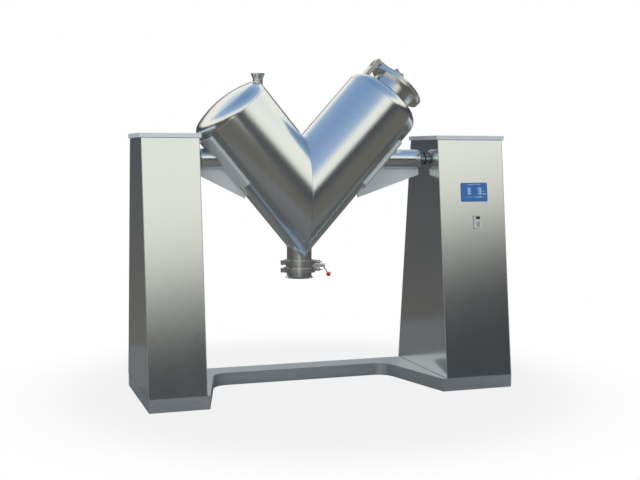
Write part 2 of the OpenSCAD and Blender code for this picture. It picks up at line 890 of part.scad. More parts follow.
module access_door() {
    third = hinge_height / 3;
    low = -door_width / 2 - door_lap;
    color("gainsboro") difference() {
        union() {
            translate([drive_out + seat_gap, low, door_bottom - door_lap])
                cube([sheet_t, door_width + 2 * door_lap, door_height + 2 * door_lap]);
            for (i = [0, 1]) translate([0, 0, hinge_z(i) + third + seat_gap]) {
                translate([hinge_axis_x, hinge_axis_y, 0])
                    cylinder(r = hinge_radius, h = third - 2 * seat_gap, $fn = small);
                translate([drive_out + seat_gap, hinge_axis_y - leaf_width, 0])
                    cube([hinge_axis_x - drive_out - seat_gap, leaf_width, third - 2 * seat_gap]);
            }
        }
        for (i = [0, 1]) translate([hinge_axis_x, hinge_axis_y, hinge_z(i)])
            cylinder(r = hinge_pin_radius + running_gap, h = hinge_height, $fn = small);
        translate([drive_out - cut, lock_inset - door_width / 2, door_bottom + door_height / 2]) rotate([0, 90, 0])
            cylinder(r = lock_radius + running_gap, h = 2 * sheet_t + 2 * cut, $fn = small);
    }
}

module door_lock() {
    start = drive_out - sheet_t - cam_back;
    head_x = drive_out + 2 * seat_gap + sheet_t;
    head_t = cap_overhang - 2 * seat_gap - sheet_t - cut;
    color("dimgray") translate([0, lock_inset - door_width / 2, door_bottom + door_height / 2]) difference() {
        union() {
            translate([start, 0, 0]) rotate([0, 90, 0]) cylinder(r = lock_radius, h = head_x - start, $fn = small);
            translate([head_x, 0, 0]) rotate([0, 90, 0]) cylinder(r = lock_head, h = head_t, $fn = small);
            translate([start, -cam_width / 2, -cam_width / 2]) cube([cam_t, cam_width, cam_length]);
        }
        translate([head_x + head_t - leaf_t, -lock_radius, -leaf_t / 2]) cube([leaf_t + cut, 2 * lock_radius, leaf_t]);
    }
}

// Solid of one leg, cut off at the mitre plane
module leg_half(side) {
    at_vertex() rotate([0, mitre_lean, 0])
        translate([side > 0 ? 0 : -reach, -reach / 2, -reach / 2]) cube([reach, reach, reach]);
}

module left_leg_solid(r, extra) {
    intersection() {
        along_left() translate([0, 0, -2 * leg_radius])
            cylinder(r = r, h = left_leg_length + 2 * leg_radius + extra, $fn = fine);
        leg_half(-1);
    }
}

module right_leg_solid(r, extra) {
    intersection() {
        along_right() translate([0, 0, -2 * leg_radius])
            cylinder(r = r, h = right_leg_length + 2 * leg_radius + extra, $fn = fine);
        leg_half(1);
    }
}

module outlet_hole() {
    at_outlet(v_bottom_z - neck_radius) cylinder(r = neck_radius + weld_gap, h = 3 * neck_radius);
}

module left_leg_shell() {
    color("lightsteelblue") difference() {
        left_leg_solid(leg_radius, 0);
        left_leg_solid(bore_radius, cut);
        outlet_hole();
        nozzle_hole();
        at_axis(left_tube_end) cylinder(r = shaft_radius + weld_gap, h = left_skin_x - left_tube_end + leg_radius);
    }
}

module right_leg_shell() {
    color("lightsteelblue") difference() {
        right_leg_solid(leg_radius, 0);
        right_leg_solid(bore_radius, cut);
        outlet_hole();
    }
}

// Half section of a dished end, with its walls moved in by inset
module sector(x, y, from, to, size) {
    mid = (from + to) / 2;
    polygon([[x, y], [x + size * cos(from), y + size * sin(from)], [x + size * cos(mid), y + size * sin(mid)],
        [x + size * cos(to), y + size * sin(to)]]);
}

module dish_section(inset) {
    knuckle_x = leg_radius - knuckle_radius;
    intersection() {
        translate([0, -crown_drop]) circle(r = crown_radius - inset, $fn = fine);
        sector(0, -crown_drop, 90 - knuckle_turn, 90, 2 * crown_radius);
    }
    intersection() {
        translate([knuckle_x, 0]) circle(r = knuckle_radius - inset, $fn = fine);
        sector(knuckle_x, 0, 0, 90 - knuckle_turn, 2 * knuckle_radius);
    }
    polygon([[0, 0], [0, -crown_drop + crown_radius / 2], [knuckle_x, 0]]);
}

module dish_solid(inset) {
    rotate_extrude($fn = fine) intersection() {
        dish_section(inset);
        square([2 * leg_radius, 2 * leg_radius]);
    }
}

module dish_shell() {
    rotate_extrude($fn = fine) intersection() {
        difference() {
            dish_section(0);
            dish_section(shell_t);
        }
        square([2 * leg_radius, 2 * leg_radius]);
    }
}

// Place of the nozzle: its upright axis meets the left head's knuckle
nozzle_leg_r = leg_radius - nozzle_inset;
nozzle_x = vertex_x - left_leg_length * sin(left_lean) + nozzle_leg_r * cos(left_lean);
nozzle_z = vertex_z + left_leg_length * cos(left_lean) + nozzle_leg_r * sin(left_lean);

module nozzle_hole() {
    translate([nozzle_x, 0, nozzle_z - knuckle_radius / 2]) cylinder(r = nozzle_radius + weld_gap, h = leg_radius);
}

module left_head() {
    color("lightsteelblue") difference() {
        along_left() translate([0, 0, left_leg_length]) dish_shell();
        nozzle_hole();
    }
}

module right_head() {
    color("lightsteelblue") along_right() translate([0, 0, right_leg_length]) difference() {
        dish_shell();
        cylinder(r = manway_bore / 2, h = manway_rise);
    }
}

module vacuum_nozzle() {
    top = nozzle_z + nozzle_height + knuckle_radius / 2;
    color("whitesmoke") difference() {
        union() {
            translate([nozzle_x, 0, nozzle_z - knuckle_radius / 2])
                cylinder(r = nozzle_radius, h = nozzle_height + knuckle_radius);
            translate([nozzle_x, 0, top - nozzle_height / 2])
                cylinder(r1 = nozzle_radius, r2 = nozzle_rim, h = nozzle_height / 2 - nozzle_rim_t);
            translate([nozzle_x, 0, top - nozzle_rim_t]) cylinder(r = nozzle_rim, h = nozzle_rim_t);
        }
        along_left() translate([0, 0, left_leg_length]) dish_solid(shell_t);
        along_left() cylinder(r = bore_radius, h = left_leg_length, $fn = fine);
        translate([nozzle_x, 0, nozzle_z - leg_radius])
            cylinder(r = nozzle_radius - nozzle_wall, h = 2 * leg_radius);
    }
}

// Doubler plate on the outer lower side of a leg, centred where the axis meets it
module saddle_plate(middle, turn) {
    translate([0, 0, middle - saddle_length / 2]) rotate([0, 0, turn - saddle_spread / 2])
        rotate_extrude(angle = saddle_spread, $fn = fine)
            translate([leg_radius + weld_gap, 0]) square([saddle_t, saddle_length]);
}

left_saddle_z = vertex_drop / cos(left_lean) + leg_radius * tan(left_lean) - 45;
right_saddle_z = vertex_drop / cos(right_lean) + leg_radius * tan(right_lean) - 60;

module gusset(skin_x, end_x) {
    top = axis_height - trunnion_radius - weld_gap;
    side = sign(end_x - skin_x);
    root_x = skin_x - side * saddle_length * gusset_root_share;
    far_x = end_x - side * gusset_end_inset;
    translate([0, gusset_t / 2, 0]) rotate([90, 0, 0]) linear_extrude(gusset_t)
        polygon([[far_x, top], [far_x, top - gusset_lip], [root_x, top - saddle_length / 2], [root_x, top]]);
}

module left_saddle() {
    color("silver") difference() {
        union() {
            along_left() saddle_plate(left_saddle_z, 180);
            difference() {
                gusset(left_skin_x, left_tube_end);
                left_leg_solid(saddle_radius - saddle_t / 2, reach);
            }
        }
        at_axis(left_tube_end) cylinder(r = shaft_radius + weld_gap, h = left_skin_x - left_tube_end + leg_radius);
    }
}

module right_saddle() {
    color("silver") union() {
        along_right() saddle_plate(right_saddle_z, 0);
        difference() {
            gusset(right_skin_x, right_tube_end);
            right_leg_solid(saddle_radius - saddle_t / 2, reach);
        }
    }
}

// Trunnion tube, closed at its outer end round the shaft
module trunnion_section(length) {
    difference() {
        union() {
            square([trunnion_radius, length - trunnion_round]);
            square([trunnion_radius - trunnion_round, length]);
            translate([trunnion_radius - trunnion_round, length - trunnion_round]) circle(r = trunnion_round);
        }
        translate([0, -cut]) square([trunnion_radius - trunnion_wall, length - trunnion_round - trunnion_end_t + cut]);
        translate([0, -cut]) square([shaft_radius + weld_gap, length + 2 * cut]);
    }
}

module left_trunnion() {
    length = left_skin_x + leg_radius - left_tube_end;
    color("silver") difference() {
        translate([left_tube_end + length, 0, axis_height]) rotate([0, -90, 0]) rotate_extrude() trunnion_section(length);
        left_leg_solid(saddle_radius + weld_gap, reach);
    }
}

module right_trunnion() {
    length = right_tube_end - right_skin_x + leg_radius;
    color("silver") difference() {
        at_axis(right_tube_end - length) rotate_extrude() trunnion_section(length);
        right_leg_solid(saddle_radius + weld_gap, reach);
    }
}

module hollow_shaft() {
    start = gland_x - gland_length / 6 + seat_gap;
    length = left_skin_x + shell_t / cos(left_lean) + shaft_radius - start;
    color("lightgray") at_axis(start) difference() {
        cylinder(r = shaft_radius, h = length);
        translate([0, 0, -cut]) cylinder(r = hollow_bore, h = length + 2 * cut);
    }
}

module drive_shaft() {
    start = right_tube_end - trunnion_end_t - shaft_diameter;
    color("lightgray") at_axis(start) cylinder(r = shaft_radius, h = outer_bearing_x + block_width - start);
}

// Manway on the right head, along the right leg's axis
rim_z = right_leg_length + manway_rise;
lid_z = rim_z + gasket_t;
hinge_z_local = lid_z + lid_axis_rise;

module manway_neck() {
    neck_r = manway_bore / 2 + neck_wall;
    color("lightsteelblue") along_right() difference() {
        union() {
            translate([0, 0, right_leg_length]) cylinder(r = neck_r, h = manway_rise);
            translate([0, 0, rim_z - rim_t]) cylinder(r = rim_radius, h = rim_t);
        }
        translate([0, 0, right_leg_length - crown_drop]) sphere(r = crown_radius + weld_gap, $fn = fine);
        translate([0, 0, right_leg_length]) cylinder(r = manway_bore / 2, h = manway_rise + cut);
    }
}

module manway_gasket() {
    inner = manway_bore / 2 + neck_wall;
    color("white") along_right() translate([0, 0, rim_z]) difference() {
        cylinder(r = rim_radius - neck_wall, h = gasket_t);
        translate([0, 0, -cut]) cylinder(r = inner, h = gasket_t + 2 * cut);
    }
}

module lid() {
    crown_r = rim_radius * lid_crown_radius_share;
    crown_ball = (crown_r * crown_r + lid_crown * lid_crown) / (2 * lid_crown);
    color("lightsteelblue") along_right() translate([0, 0, lid_z + seat_gap]) difference() {
        union() {
            cylinder(r = lid_diameter / 2, h = lid_t - seat_gap);
            intersection() {
                translate([0, 0, lid_t - seat_gap + lid_crown - crown_ball]) sphere(r = crown_ball, $fn = fine);
                cylinder(r = crown_r + cut, h = lid_t + lid_crown);
            }
        }
        translate([-screw_r, 0, lid_t / 2]) cylinder(r = screw_radius + running_gap, h = lid_t + lid_crown);
    }
}

module lid_arm() {
    low = lid_z + lid_t + lid_crown + arm_lift;
    color("silver") along_right() difference() {
        union() {
            translate([0, arm_width / 2, 0]) rotate([90, 0, 0]) linear_extrude(arm_width) union() {
                translate([-lid_axis_r, hinge_z_local]) circle(r = lug_radius);
                polygon([[-lid_axis_r, hinge_z_local - lug_radius / 2], [-lid_axis_r, hinge_z_local + lug_radius],
                    [-screw_r * 3, low + arm_t], [arm_end, low + arm_t], [arm_end, low], [-screw_r * 3, low],
                    [-lid_axis_r + lug_radius + arm_lift, lid_z + lid_t + arm_lift]]);
            }
            translate([-screw_r, 0, lid_z + lid_t / 2 + cut]) cylinder(r = screw_radius, h = lid_crown + lid_t + arm_t);
            translate([-screw_r, 0, low - arm_lift - 2 * gasket_t]) cylinder(r = wing_hub, h = arm_t);
            translate([-screw_r, 0, low]) cylinder(r = screw_radius, h = arm_t + screw_length);
        }
        translate([-lid_axis_r, arm_width, hinge_z_local]) rotate([90, 0, 0])
            cylinder(r = lid_pin_radius + running_gap, h = 2 * arm_width, $fn = small);
        along_lid_dome();
    }
}

// Space of the domed lid, which the arm's boss is cut back to
module along_lid_dome() {
    crown_r = rim_radius * lid_crown_radius_share;
    crown_ball = (crown_r * crown_r + lid_crown * lid_crown) / (2 * lid_crown);
    difference() {
        translate([0, 0, lid_z + lid_t + lid_crown - crown_ball]) sphere(r = crown_ball + running_gap, $fn = fine);
        translate([-screw_r, 0, lid_z]) cylinder(r = screw_radius, h = lid_t + 2 * lid_crown);
    }
}

module lid_wing_nut() {
    low = lid_z + lid_t + lid_crown + arm_lift + arm_t + seat_gap;
    color("silver") along_right() translate([-screw_r, 0, low]) difference() {
        union() {
            cylinder(r = wing_hub, h = wing_hub_length);
            for (side = [-1, 1]) translate([side * wing_spread, wing_t / 2, wing_hub_length + wing_radius / 3])
                rotate([90, 0, 0]) cylinder(r = wing_radius, h = wing_t);
            translate([-wing_spread, -wing_t / 2, wing_hub_length / 3])
                cube([2 * wing_spread, wing_t, wing_hub_length * 2 / 3]);
        }
        translate([0, 0, -cut]) cylinder(r = screw_radius + running_gap, h = reach / 2);
    }
}

module lid_hinge_bracket() {
    back = lid_axis_r + lug_radius;
    half = arm_width / 2 + lug_gap;
    foot_z = right_leg_length;
    color("silver") along_right() difference() {
        union() {
            for (side = [-1, 1]) translate([0, side * (half + lug_t / 2) + lug_t / 2, 0]) rotate([90, 0, 0])
                linear_extrude(lug_t) union() {
                    translate([-lid_axis_r, hinge_z_local]) circle(r = lug_radius);
                    translate([-back, foot_z]) square([bracket_depth, hinge_z_local - foot_z]);
                }
            translate([-back, -half, foot_z])
                cube([bracket_depth, 2 * half, rim_z - rim_t - foot_z - lug_radius]);
            translate([-lid_axis_r, half + lug_t + gasket_t, hinge_z_local]) rotate([90, 0, 0])
                cylinder(r = lid_pin_radius, h = 2 * (half + lug_t + gasket_t), $fn = small);
        }
        translate([0, 0, right_leg_length]) dish_solid(-weld_gap);
    }
}

// Outlet at the foot of the V
// Neck trimmed flush with the bores of both legs, with a small relief where their weld crosses it
module outlet_neck() {
    weld_floor = sqrt(pow(bore_radius, 2) - pow(neck_radius - outlet_wall, 2)) / sin(mitre_half);
    color("lightsteelblue") difference() {
        union() {
            at_outlet(outlet_z) cylinder(r = neck_radius, h = 2 * neck_radius);
            at_outlet(outlet_z) cylinder(r = ferrule_radius, h = ferrule_t);
        }
        left_leg_solid(bore_radius, 0);
        right_leg_solid(bore_radius, 0);
        at_vertex() rotate([0, mitre_lean, 0]) translate([-cut, -2 * neck_radius, -weld_floor - cut])
            cube([2 * cut, 4 * neck_radius, 2 * neck_radius]);
        at_outlet(outlet_z - cut) cylinder(r = neck_radius - outlet_wall, h = 3 * neck_radius);
    }
}

module valve_body() {
    flange_t = ferrule_t;
    color("silver") at_outlet(valve_z) difference() {
        union() {
            translate([0, 0, -valve_height / 2]) cylinder(r = waist_radius, h = valve_height);
            for (z = [-valve_height / 2, valve_height / 2 - flange_t]) translate([0, 0, z])
                cylinder(r = ferrule_radius, h = flange_t);
            rotate([0, 90, 0]) cylinder(r = stem_boss, h = stem_boss_reach, $fn = small);
        }
        translate([0, 0, -valve_height / 2 - cut]) cylinder(r = neck_radius - outlet_wall, h = valve_height + 2 * cut);
        translate([0, 0, -seat_height / 2]) cylinder(r = neck_radius + seat_gap, h = seat_height);
        rotate([0, 90, 0]) cylinder(r = stem_radius + running_gap, h = clamp_ear + cut, $fn = small);
    }
}

module valve_seat() {
    color("white") at_outlet(valve_z) difference() {
        translate([0, 0, -seat_height / 2]) cylinder(r = neck_radius, h = seat_height);
        translate([0, 0, -seat_height / 2 - cut]) cylinder(r = disc_radius + seat_gap, h = seat_height + 2 * cut);
        rotate([0, 90, 0]) cylinder(r = stem_radius + seat_gap, h = clamp_ear, $fn = small);
        rotate([0, -90, 0]) cylinder(r = stem_radius + seat_gap, h = clamp_ear, $fn = small);
    }
}

module discharge_spout() {
    color("lightsteelblue") at_outlet(spout_z - spout_length) difference() {
        union() {
            cylinder(r = neck_radius, h = spout_length);
            cylinder(r1 = ferrule_radius, r2 = neck_radius, h = neck_drop);
            translate([0, 0, spout_length - ferrule_t]) cylinder(r = ferrule_radius, h = ferrule_t);
        }
        translate([0, 0, -cut]) cylinder(r = neck_radius - outlet_wall, h = spout_length + 2 * cut);
    }
}

upper_clamp_z = outlet_z - outlet_gasket_t / 2;
lower_clamp_z = spout_z + outlet_gasket_t / 2;

module clamp() {
    groove = ferrule_t + outlet_gasket_t / 2 + seat_gap;
    lug_start = clamp_radius - clamp_lip / 2;
    difference() {
        union() {
            rotate_extrude() difference() {
                translate([ferrule_radius - clamp_lip, -clamp_height / 2])
                    square([clamp_radius - ferrule_radius + clamp_lip, clamp_height]);
                translate([0, -groove]) square([ferrule_radius + seat_gap, 2 * groove]);
            }
            translate([-clamp_ear, -clamp_ear_width / 2, -clamp_height / 2])
                cube([clamp_ear - clamp_radius + clamp_lip / 2, clamp_ear_width, clamp_height]);
            translate([lug_start, -clamp_lug_gap / 2 - clamp_lug_t, -clamp_lug_height / 2])
                cube([clamp_bolt_r - lug_start + clamp_lug_t, clamp_lug_gap + 2 * clamp_lug_t, clamp_lug_height]);
        }
        translate([ferrule_radius / 2, -clamp_lug_gap / 2, -clamp_height])
            cube([clamp_bolt_r, clamp_lug_gap, 2 * clamp_height]);
    }
    translate([clamp_bolt_r, clamp_bolt_length / 3, 0]) rotate([90, 0, 0]) {
        cylinder(r = clamp_bolt_radius, h = clamp_bolt_length, $fn = small);
        cylinder(r = clamp_wing_hub, h = clamp_wing_t, $fn = 6);
    }
}

module outlet_clamps() {
    color("silver") for (z = [upper_clamp_z, lower_clamp_z]) at_outlet(z) clamp();
}

module clamp_nut(z) {
    start = clamp_lug_gap / 2 + clamp_lug_t + seat_gap;
    at_outlet(z) translate([clamp_bolt_r, -start, 0]) rotate([90, 0, 0]) difference() {
        union() {
            cylinder(r = clamp_wing_hub, h = clamp_nut_length, $fn = small);
            for (side = [-1, 1]) translate([side * clamp_wing * 2 / 3, clamp_wing_t / 2, clamp_nut_length * 3 / 4])
                rotate([90, 0, 0]) cylinder(r = clamp_wing / 3, h = clamp_wing_t, $fn = small);
            translate([-clamp_wing * 2 / 3, -clamp_wing_t / 2, clamp_nut_length / 3])
                cube([clamp_wing * 4 / 3, clamp_wing_t, clamp_nut_length / 2]);
        }
        translate([0, 0, -cut])
            cylinder(r = clamp_bolt_radius + running_gap, h = 2 * clamp_nut_length + cut, $fn = small);
    }
}

module upper_clamp_nut() {
    color("silver") clamp_nut(upper_clamp_z);
}

module lower_clamp_nut() {
    color("silver") clamp_nut(lower_clamp_z);
}

// Disc, stem and lever turn together about the stem
module valve_disc() {
    color("lightgray") at_outlet(valve_z) union() {
        translate([0, 0, -disc_t / 2]) cylinder(r = disc_radius, h = disc_t);
        translate([-disc_radius * 3 / 4, 0, 0]) rotate([0, 90, 0]) cylinder(r = disc_boss, h = disc_radius * 3 / 2, $fn = small);
        rotate([0, 90, 0]) cylinder(r = stem_radius, h = lever_hub_start + lever_hub, $fn = small);
    }
}

module valve_lever() {
    color("silver") at_outlet(valve_z) difference() {
        union() {
            translate([lever_hub_start, 0, 0]) rotate([0, 90, 0])
                cylinder(r = lever_hub, h = lever_hub_end - lever_hub_start, $fn = small);
            translate([lever_hub_end - lever_hub, 0, 0]) rotate([90 + lever_dip, 0, 0])
                rotate([0, atan(lever_splay / lever_reach), 0]) cylinder(r = lever_rod, h = lever_reach, $fn = small);
        }
        translate([lever_hub_start - cut, 0, 0]) rotate([0, 90, 0])
            cylinder(r = stem_radius + running_gap, h = lever_hub + 2 * cut, $fn = small);
    }
    color("crimson") at_outlet(valve_z) translate([lever_hub_end - lever_hub, 0, 0]) rotate([90 + lever_dip, 0, 0])
        translate([lever_splay, 0, lever_reach]) sphere(r = ball_radius);
}

left_plinth();
drive_plinth();
cross_beam();
left_stand_shell();
drive_stand_shell();
left_cap();
drive_cap();
left_bearing_posts();
drive_bearing_posts();
left_pillow_block();
drive_pillow_blocks();
left_bearing();
drive_bearings();
left_wall_seal();
drive_wall_seal();
vacuum_pipe();
vacuum_filter();
vacuum_gland();
vacuum_line();
reducer();
motor();
motor_fan_cover();
drive_chain();
control_panel();
control_enclosure();
timer_relay();
door_hinges();
left_leg_shell();
right_leg_shell();
left_head();
right_head();
left_trunnion();
right_trunnion();
left_saddle();
right_saddle();
hollow_shaft();
drive_shaft();
driven_sprocket();
vacuum_nozzle();
manway_neck();
manway_gasket();
lid_hinge_bracket();
outlet_neck();
valve_body();
valve_seat();
outlet_clamps();
discharge_spout();
lid();
lid_arm();
lid_wing_nut();
valve_disc();
valve_lever();
output_sprocket();
access_door();
door_lock();
upper_clamp_nut();
lower_clamp_nut();
start_button();
stop_button();
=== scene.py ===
import json
import math
import bpy
import bmesh
from mathutils import Matrix, Vector


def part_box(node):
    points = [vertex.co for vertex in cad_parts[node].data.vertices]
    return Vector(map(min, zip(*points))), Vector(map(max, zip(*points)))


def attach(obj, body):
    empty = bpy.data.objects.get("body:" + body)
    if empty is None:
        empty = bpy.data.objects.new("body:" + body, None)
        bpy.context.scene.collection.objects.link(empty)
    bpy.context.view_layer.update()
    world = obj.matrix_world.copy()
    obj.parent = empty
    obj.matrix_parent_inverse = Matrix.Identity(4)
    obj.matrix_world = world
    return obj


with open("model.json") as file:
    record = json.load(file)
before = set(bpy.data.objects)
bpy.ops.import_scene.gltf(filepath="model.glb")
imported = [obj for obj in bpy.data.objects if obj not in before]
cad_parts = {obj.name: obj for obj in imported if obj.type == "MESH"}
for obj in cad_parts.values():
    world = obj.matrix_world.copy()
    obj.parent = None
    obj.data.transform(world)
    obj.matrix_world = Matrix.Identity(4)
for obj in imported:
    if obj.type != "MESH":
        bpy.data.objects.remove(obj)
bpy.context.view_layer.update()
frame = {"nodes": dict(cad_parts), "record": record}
nodes = frame["nodes"]
scene = bpy.context.scene
mm = 0.001

# the photograph's camera, solved from the machine's edges, in millimetres and degrees
photoView = {"place": (-2118.34, -6274.31, 1476.42), "yaw": 18.64, "pitch": -4.65, "roll": 0.17,
             "focalPixels": 1048.46, "widthPixels": 640, "sensor": 36, "clipEnd": 60}


def makeCamera(view):
    yaw, pitch, roll = (math.radians(view[key]) for key in ("yaw", "pitch", "roll"))
    forward = Vector((math.sin(yaw) * math.cos(pitch), math.cos(yaw) * math.cos(pitch), math.sin(pitch)))
    right = Vector((math.cos(yaw), -math.sin(yaw), 0))
    up = right.cross(forward)
    side = right * math.cos(roll) + up * math.sin(roll)
    top = up * math.cos(roll) - right * math.sin(roll)
    lens = bpy.data.cameras.new("photoCamera")
    lens.sensor_width = view["sensor"]
    lens.lens = view["focalPixels"] * view["sensor"] / view["widthPixels"]
    lens.clip_end = view["clipEnd"]
    camera = bpy.data.objects.new("photoCamera", lens)
    scene.collection.objects.link(camera)
    turn = Matrix((side, top, -forward)).transposed().to_4x4()
    camera.matrix_world = Matrix.Translation(Vector(view["place"]) * mm) @ turn
    scene.camera = camera


makeCamera(photoView)
scene.view_settings.view_transform = "Standard"
print("camera placed")

# the machine's main sizes as in the CAD, in millimetres and degrees
machine = {"standX": (-1160, -820, 710, 1160), "baseHalf": 390, "topHalf": 210, "plinthTop": 80,
           "shellTop": 1574, "vertex": (-133, 0, 1203), "leftLean": 40, "rightLean": 42,
           "legRadius": 255, "leftLength": 688, "rightLength": 792, "axisZ": 1450,
           "outletX": -139.78, "neckRadius": 78}


def legWay(lean):
    return Vector((math.sin(math.radians(lean)), 0, math.cos(math.radians(lean))))


def acrossLeg(way):
    return Vector((way.z, 0, -way.x))


slope = math.atan((machine["baseHalf"] - machine["topHalf"]) / (machine["shellTop"] - machine["plinthTop"]))
vertex = Vector(machine["vertex"])
leftWay = legWay(-machine["leftLean"])
rightWay = legWay(machine["rightLean"])


def onFront(face, across, along, out):  # a place on the drive stand's sloping front
    y = -(machine["baseHalf"] - math.tan(slope) * (face["z"] - machine["plinthTop"]))
    return Vector((face["x"] + across, y + along * math.sin(slope) - out * math.cos(slope),
                   face["z"] + along * math.cos(slope) + out * math.sin(slope)))


def srgb(code):
    parts = [int(code[i:i + 2], 16) / 255 for i in (1, 3, 5)]
    return tuple(c / 12.92 if c <= 0.04045 else ((c + 0.055) / 1.055) ** 2.4 for c in parts) + (1.0,)


def fill(tree, node, inputs):  # a socket is linked, and any other value is set
    for name, value in inputs.items():
        if isinstance(value, bpy.types.NodeSocket):
            tree.links.new(value, node.inputs[name])
        else:
            node.inputs[name].default_value = value


def addNode(tree, kind, settings=None, inputs=None, stops=None):
    node = tree.nodes.new(kind)
    for name, value in (settings or {}).items():
        setattr(node, name, value)
    fill(tree, node, inputs or {})
    if stops:
        bands = node.color_ramp.elements
        bands[0].position, bands[0].color = stops[0]
        bands[1].position, bands[1].color = stops[-1]
        for place, colour in stops[1:-1]:
            bands.new(place).color = colour
    return node


def startMaterial(name):
    mat = bpy.data.materials.new(name)
    mat.use_nodes = True
    tree = mat.node_tree
    place = addNode(tree, "ShaderNodeTexCoord").outputs["Object"]
    return mat, tree, tree.nodes["Principled BSDF"], place


# stainless steel: grain is its brush lines per metre along X, Y and Z; depths and sizes in millimetres
steelLook = {"cloudSize": 420, "cloudShare": 0.35, "dark": 0.4, "pale": 0.95}


def metal(name, low, high, rough, grain, grainDepth, wave=0.0, waveSize=90, metallic=1.0):
    mat, tree, shader, place = startMaterial(name)
    dark, pale = steelLook["dark"], steelLook["pale"]
    lay = addNode(tree, "ShaderNodeMapping", {}, {"Vector": place, "Scale": grain})
    lines = addNode(tree, "ShaderNodeTexNoise", {},
                    {"Vector": lay.outputs["Vector"], "Scale": 1.0, "Detail": 3.0, "Roughness": 0.6})
    cloud = addNode(tree, "ShaderNodeTexNoise", {},
                    {"Vector": place, "Scale": 1000 / steelLook["cloudSize"], "Detail": 2.0, "Roughness": 0.45})
    both = addNode(tree, "ShaderNodeMath", {"operation": "MULTIPLY_ADD"},
                   {0: cloud.outputs["Fac"], 1: steelLook["cloudShare"], 2: lines.outputs["Fac"]})
    tint = addNode(tree, "ShaderNodeValToRGB", {}, {"Fac": both.outputs[0]},
                   [(dark, srgb(low)), (pale, srgb(high))])
    gloss = addNode(tree, "ShaderNodeMapRange", {},
                    {"Value": both.outputs[0], "From Min": dark, "From Max": pale,
                     "To Min": rough[0], "To Max": rough[1]})
    relief = addNode(tree, "ShaderNodeBump", {},
                     {"Height": lines.outputs["Fac"], "Strength": 1.0, "Distance": grainDepth * mm})
    if wave:
        swell = addNode(tree, "ShaderNodeTexNoise", {}, {"Vector": place, "Scale": 1000 / waveSize, "Detail": 1.0})
        relief = addNode(tree, "ShaderNodeBump", {},
                         {"Height": swell.outputs["Fac"], "Normal": relief.outputs["Normal"],
                          "Strength": 1.0, "Distance": wave * mm})
    fill(tree, shader, {"Metallic": metallic, "Base Color": tint.outputs["Color"],
                        "Roughness": gloss.outputs["Result"], "Normal": relief.outputs["Normal"]})
    return mat


# paint, moulded plastic, rubber or felt: speckSize is its orange peel, grain or fibre in millimetres
coatLook = {"cloudSize": 120, "dark": 0.3, "pale": 0.7, "coatRough": 0.12}


def coated(name, low, high, rough, speckSize, depth, coat=0.0, sheen=0.0):
    mat, tree, shader, place = startMaterial(name)
    peel = addNode(tree, "ShaderNodeTexNoise", {}, {"Vector": place, "Scale": 1000 / speckSize, "Detail": 2.0})
    cloud = addNode(tree, "ShaderNodeTexNoise", {},
                    {"Vector": place, "Scale": 1000 / coatLook["cloudSize"], "Detail": 5.0})
    tint = addNode(tree, "ShaderNodeValToRGB", {}, {"Fac": cloud.outputs["Fac"]},
                   [(coatLook["dark"], srgb(low)), (coatLook["pale"], srgb(high))])
    gloss = addNode(tree, "ShaderNodeMapRange", {},
                    {"Value": cloud.outputs["Fac"], "To Min": rough[0], "To Max": rough[1]})
    relief = addNode(tree, "ShaderNodeBump", {},
                     {"Height": peel.outputs["Fac"], "Strength": 1.0, "Distance": depth * mm})
    fill(tree, shader, {"Metallic": 0.0, "Coat Weight": coat, "Coat Roughness": coatLook["coatRough"],
                        "Sheen Weight": sheen, "Base Color": tint.outputs["Color"],
                        "Roughness": gloss.outputs["Result"], "Normal": relief.outputs["Normal"]})
    return mat


# 304 sheet with a No. 4 finish: upright brush lines, drawn as coarse as 2 mm so that they show
brushedSheet = metal("brushedSheet304", "#dcdedb", "#e9eae6", (0.12, 0.18), (420, 420, 6), 0.006, 0.08, 520)
# 304 buffed by hand after welding: bright, with reflections that it blurs and bends a little
buffedVessel = metal("buffedVessel304", "#e4e5e2", "#eeeeeb", (0.15, 0.23), (90, 90, 90), 0.003, 0.2, 150)
# turned and polished fittings: tight turning marks
turnedFittings = metal("turnedFittings304", "#dddcd7", "#ecebe5", (0.24, 0.34), (200, 200, 900), 0.003)
# folded plinth and beam sheet, slightly duller from handling
foldedSheet = metal("foldedSheet304", "#dde1e5", "#eaedf0", (0.26, 0.34), (12, 300, 300), 0.003, 0.1, 360)
# the caps' and saddles' sheet, taken as bead-blasted: rough, and partly diffuse so it scatters part of the light; its
# paler, blue-tinted colour is painted sky light on these faces
paintedSkyCapSheet = metal("capSheetPaintedSkyLight304", "#e4eaee", "#f1f5f7", (0.5, 0.6), (300, 300, 300), 0.02, metallic=0.6)
# ground bearing steel: smooth and a little darker than stainless
groundSteel = metal("groundBearingSteel", "#9a9b9d", "#bcbdbf", (0.16, 0.26), (700, 60, 60), 0.006)
# oiled chain steel: dark, with a greasy sheen
oiledSteel = metal("oiledChainSteel", "#4a4744", "#75706a", (0.28, 0.5), (200, 200, 200), 0.02)
# weld bead, ground and brushed: slightly brighter, uneven
weldMetal = metal("groundWeldBead", "#bfc0be", "#e2e3e1", (0.2, 0.4), (500, 500, 500), 0.03)
# powder paint on sheet steel: faint orange peel
panelPaint = coated("bluePanelPaint", "#285f9e", "#3169a8", (0.32, 0.42), 1.6, 0.01, 0.15)
# ABS mouldings, matte with a spark-eroded grain
buttonPlastic = coated("paleBlueButtonAbs", "#4f86be", "#5c91c8", (0.38, 0.5), 0.9, 0.012)
relayPlastic = coated("greyRelayAbs", "#b4b9b3", "#c6cac4", (0.4, 0.52), 0.9, 0.015)
keyPlastic = coated("paleKeyAbs", "#a3a9a4", "#b3b8b3", (0.4, 0.5), 0.9, 0.01)
# smoked acrylic display window
windowAcrylic = coated("smokedWindowAcrylic", "#14171b", "#22262b", (0.06, 0.12), 4.0, 0.002, 0.3)
# screen-printed marks, thin enough for the blue to dull them
printInk = coated("paleScreenInk", "#b7cbdd", "#cddbe7", (0.4, 0.5), 0.7, 0.004)
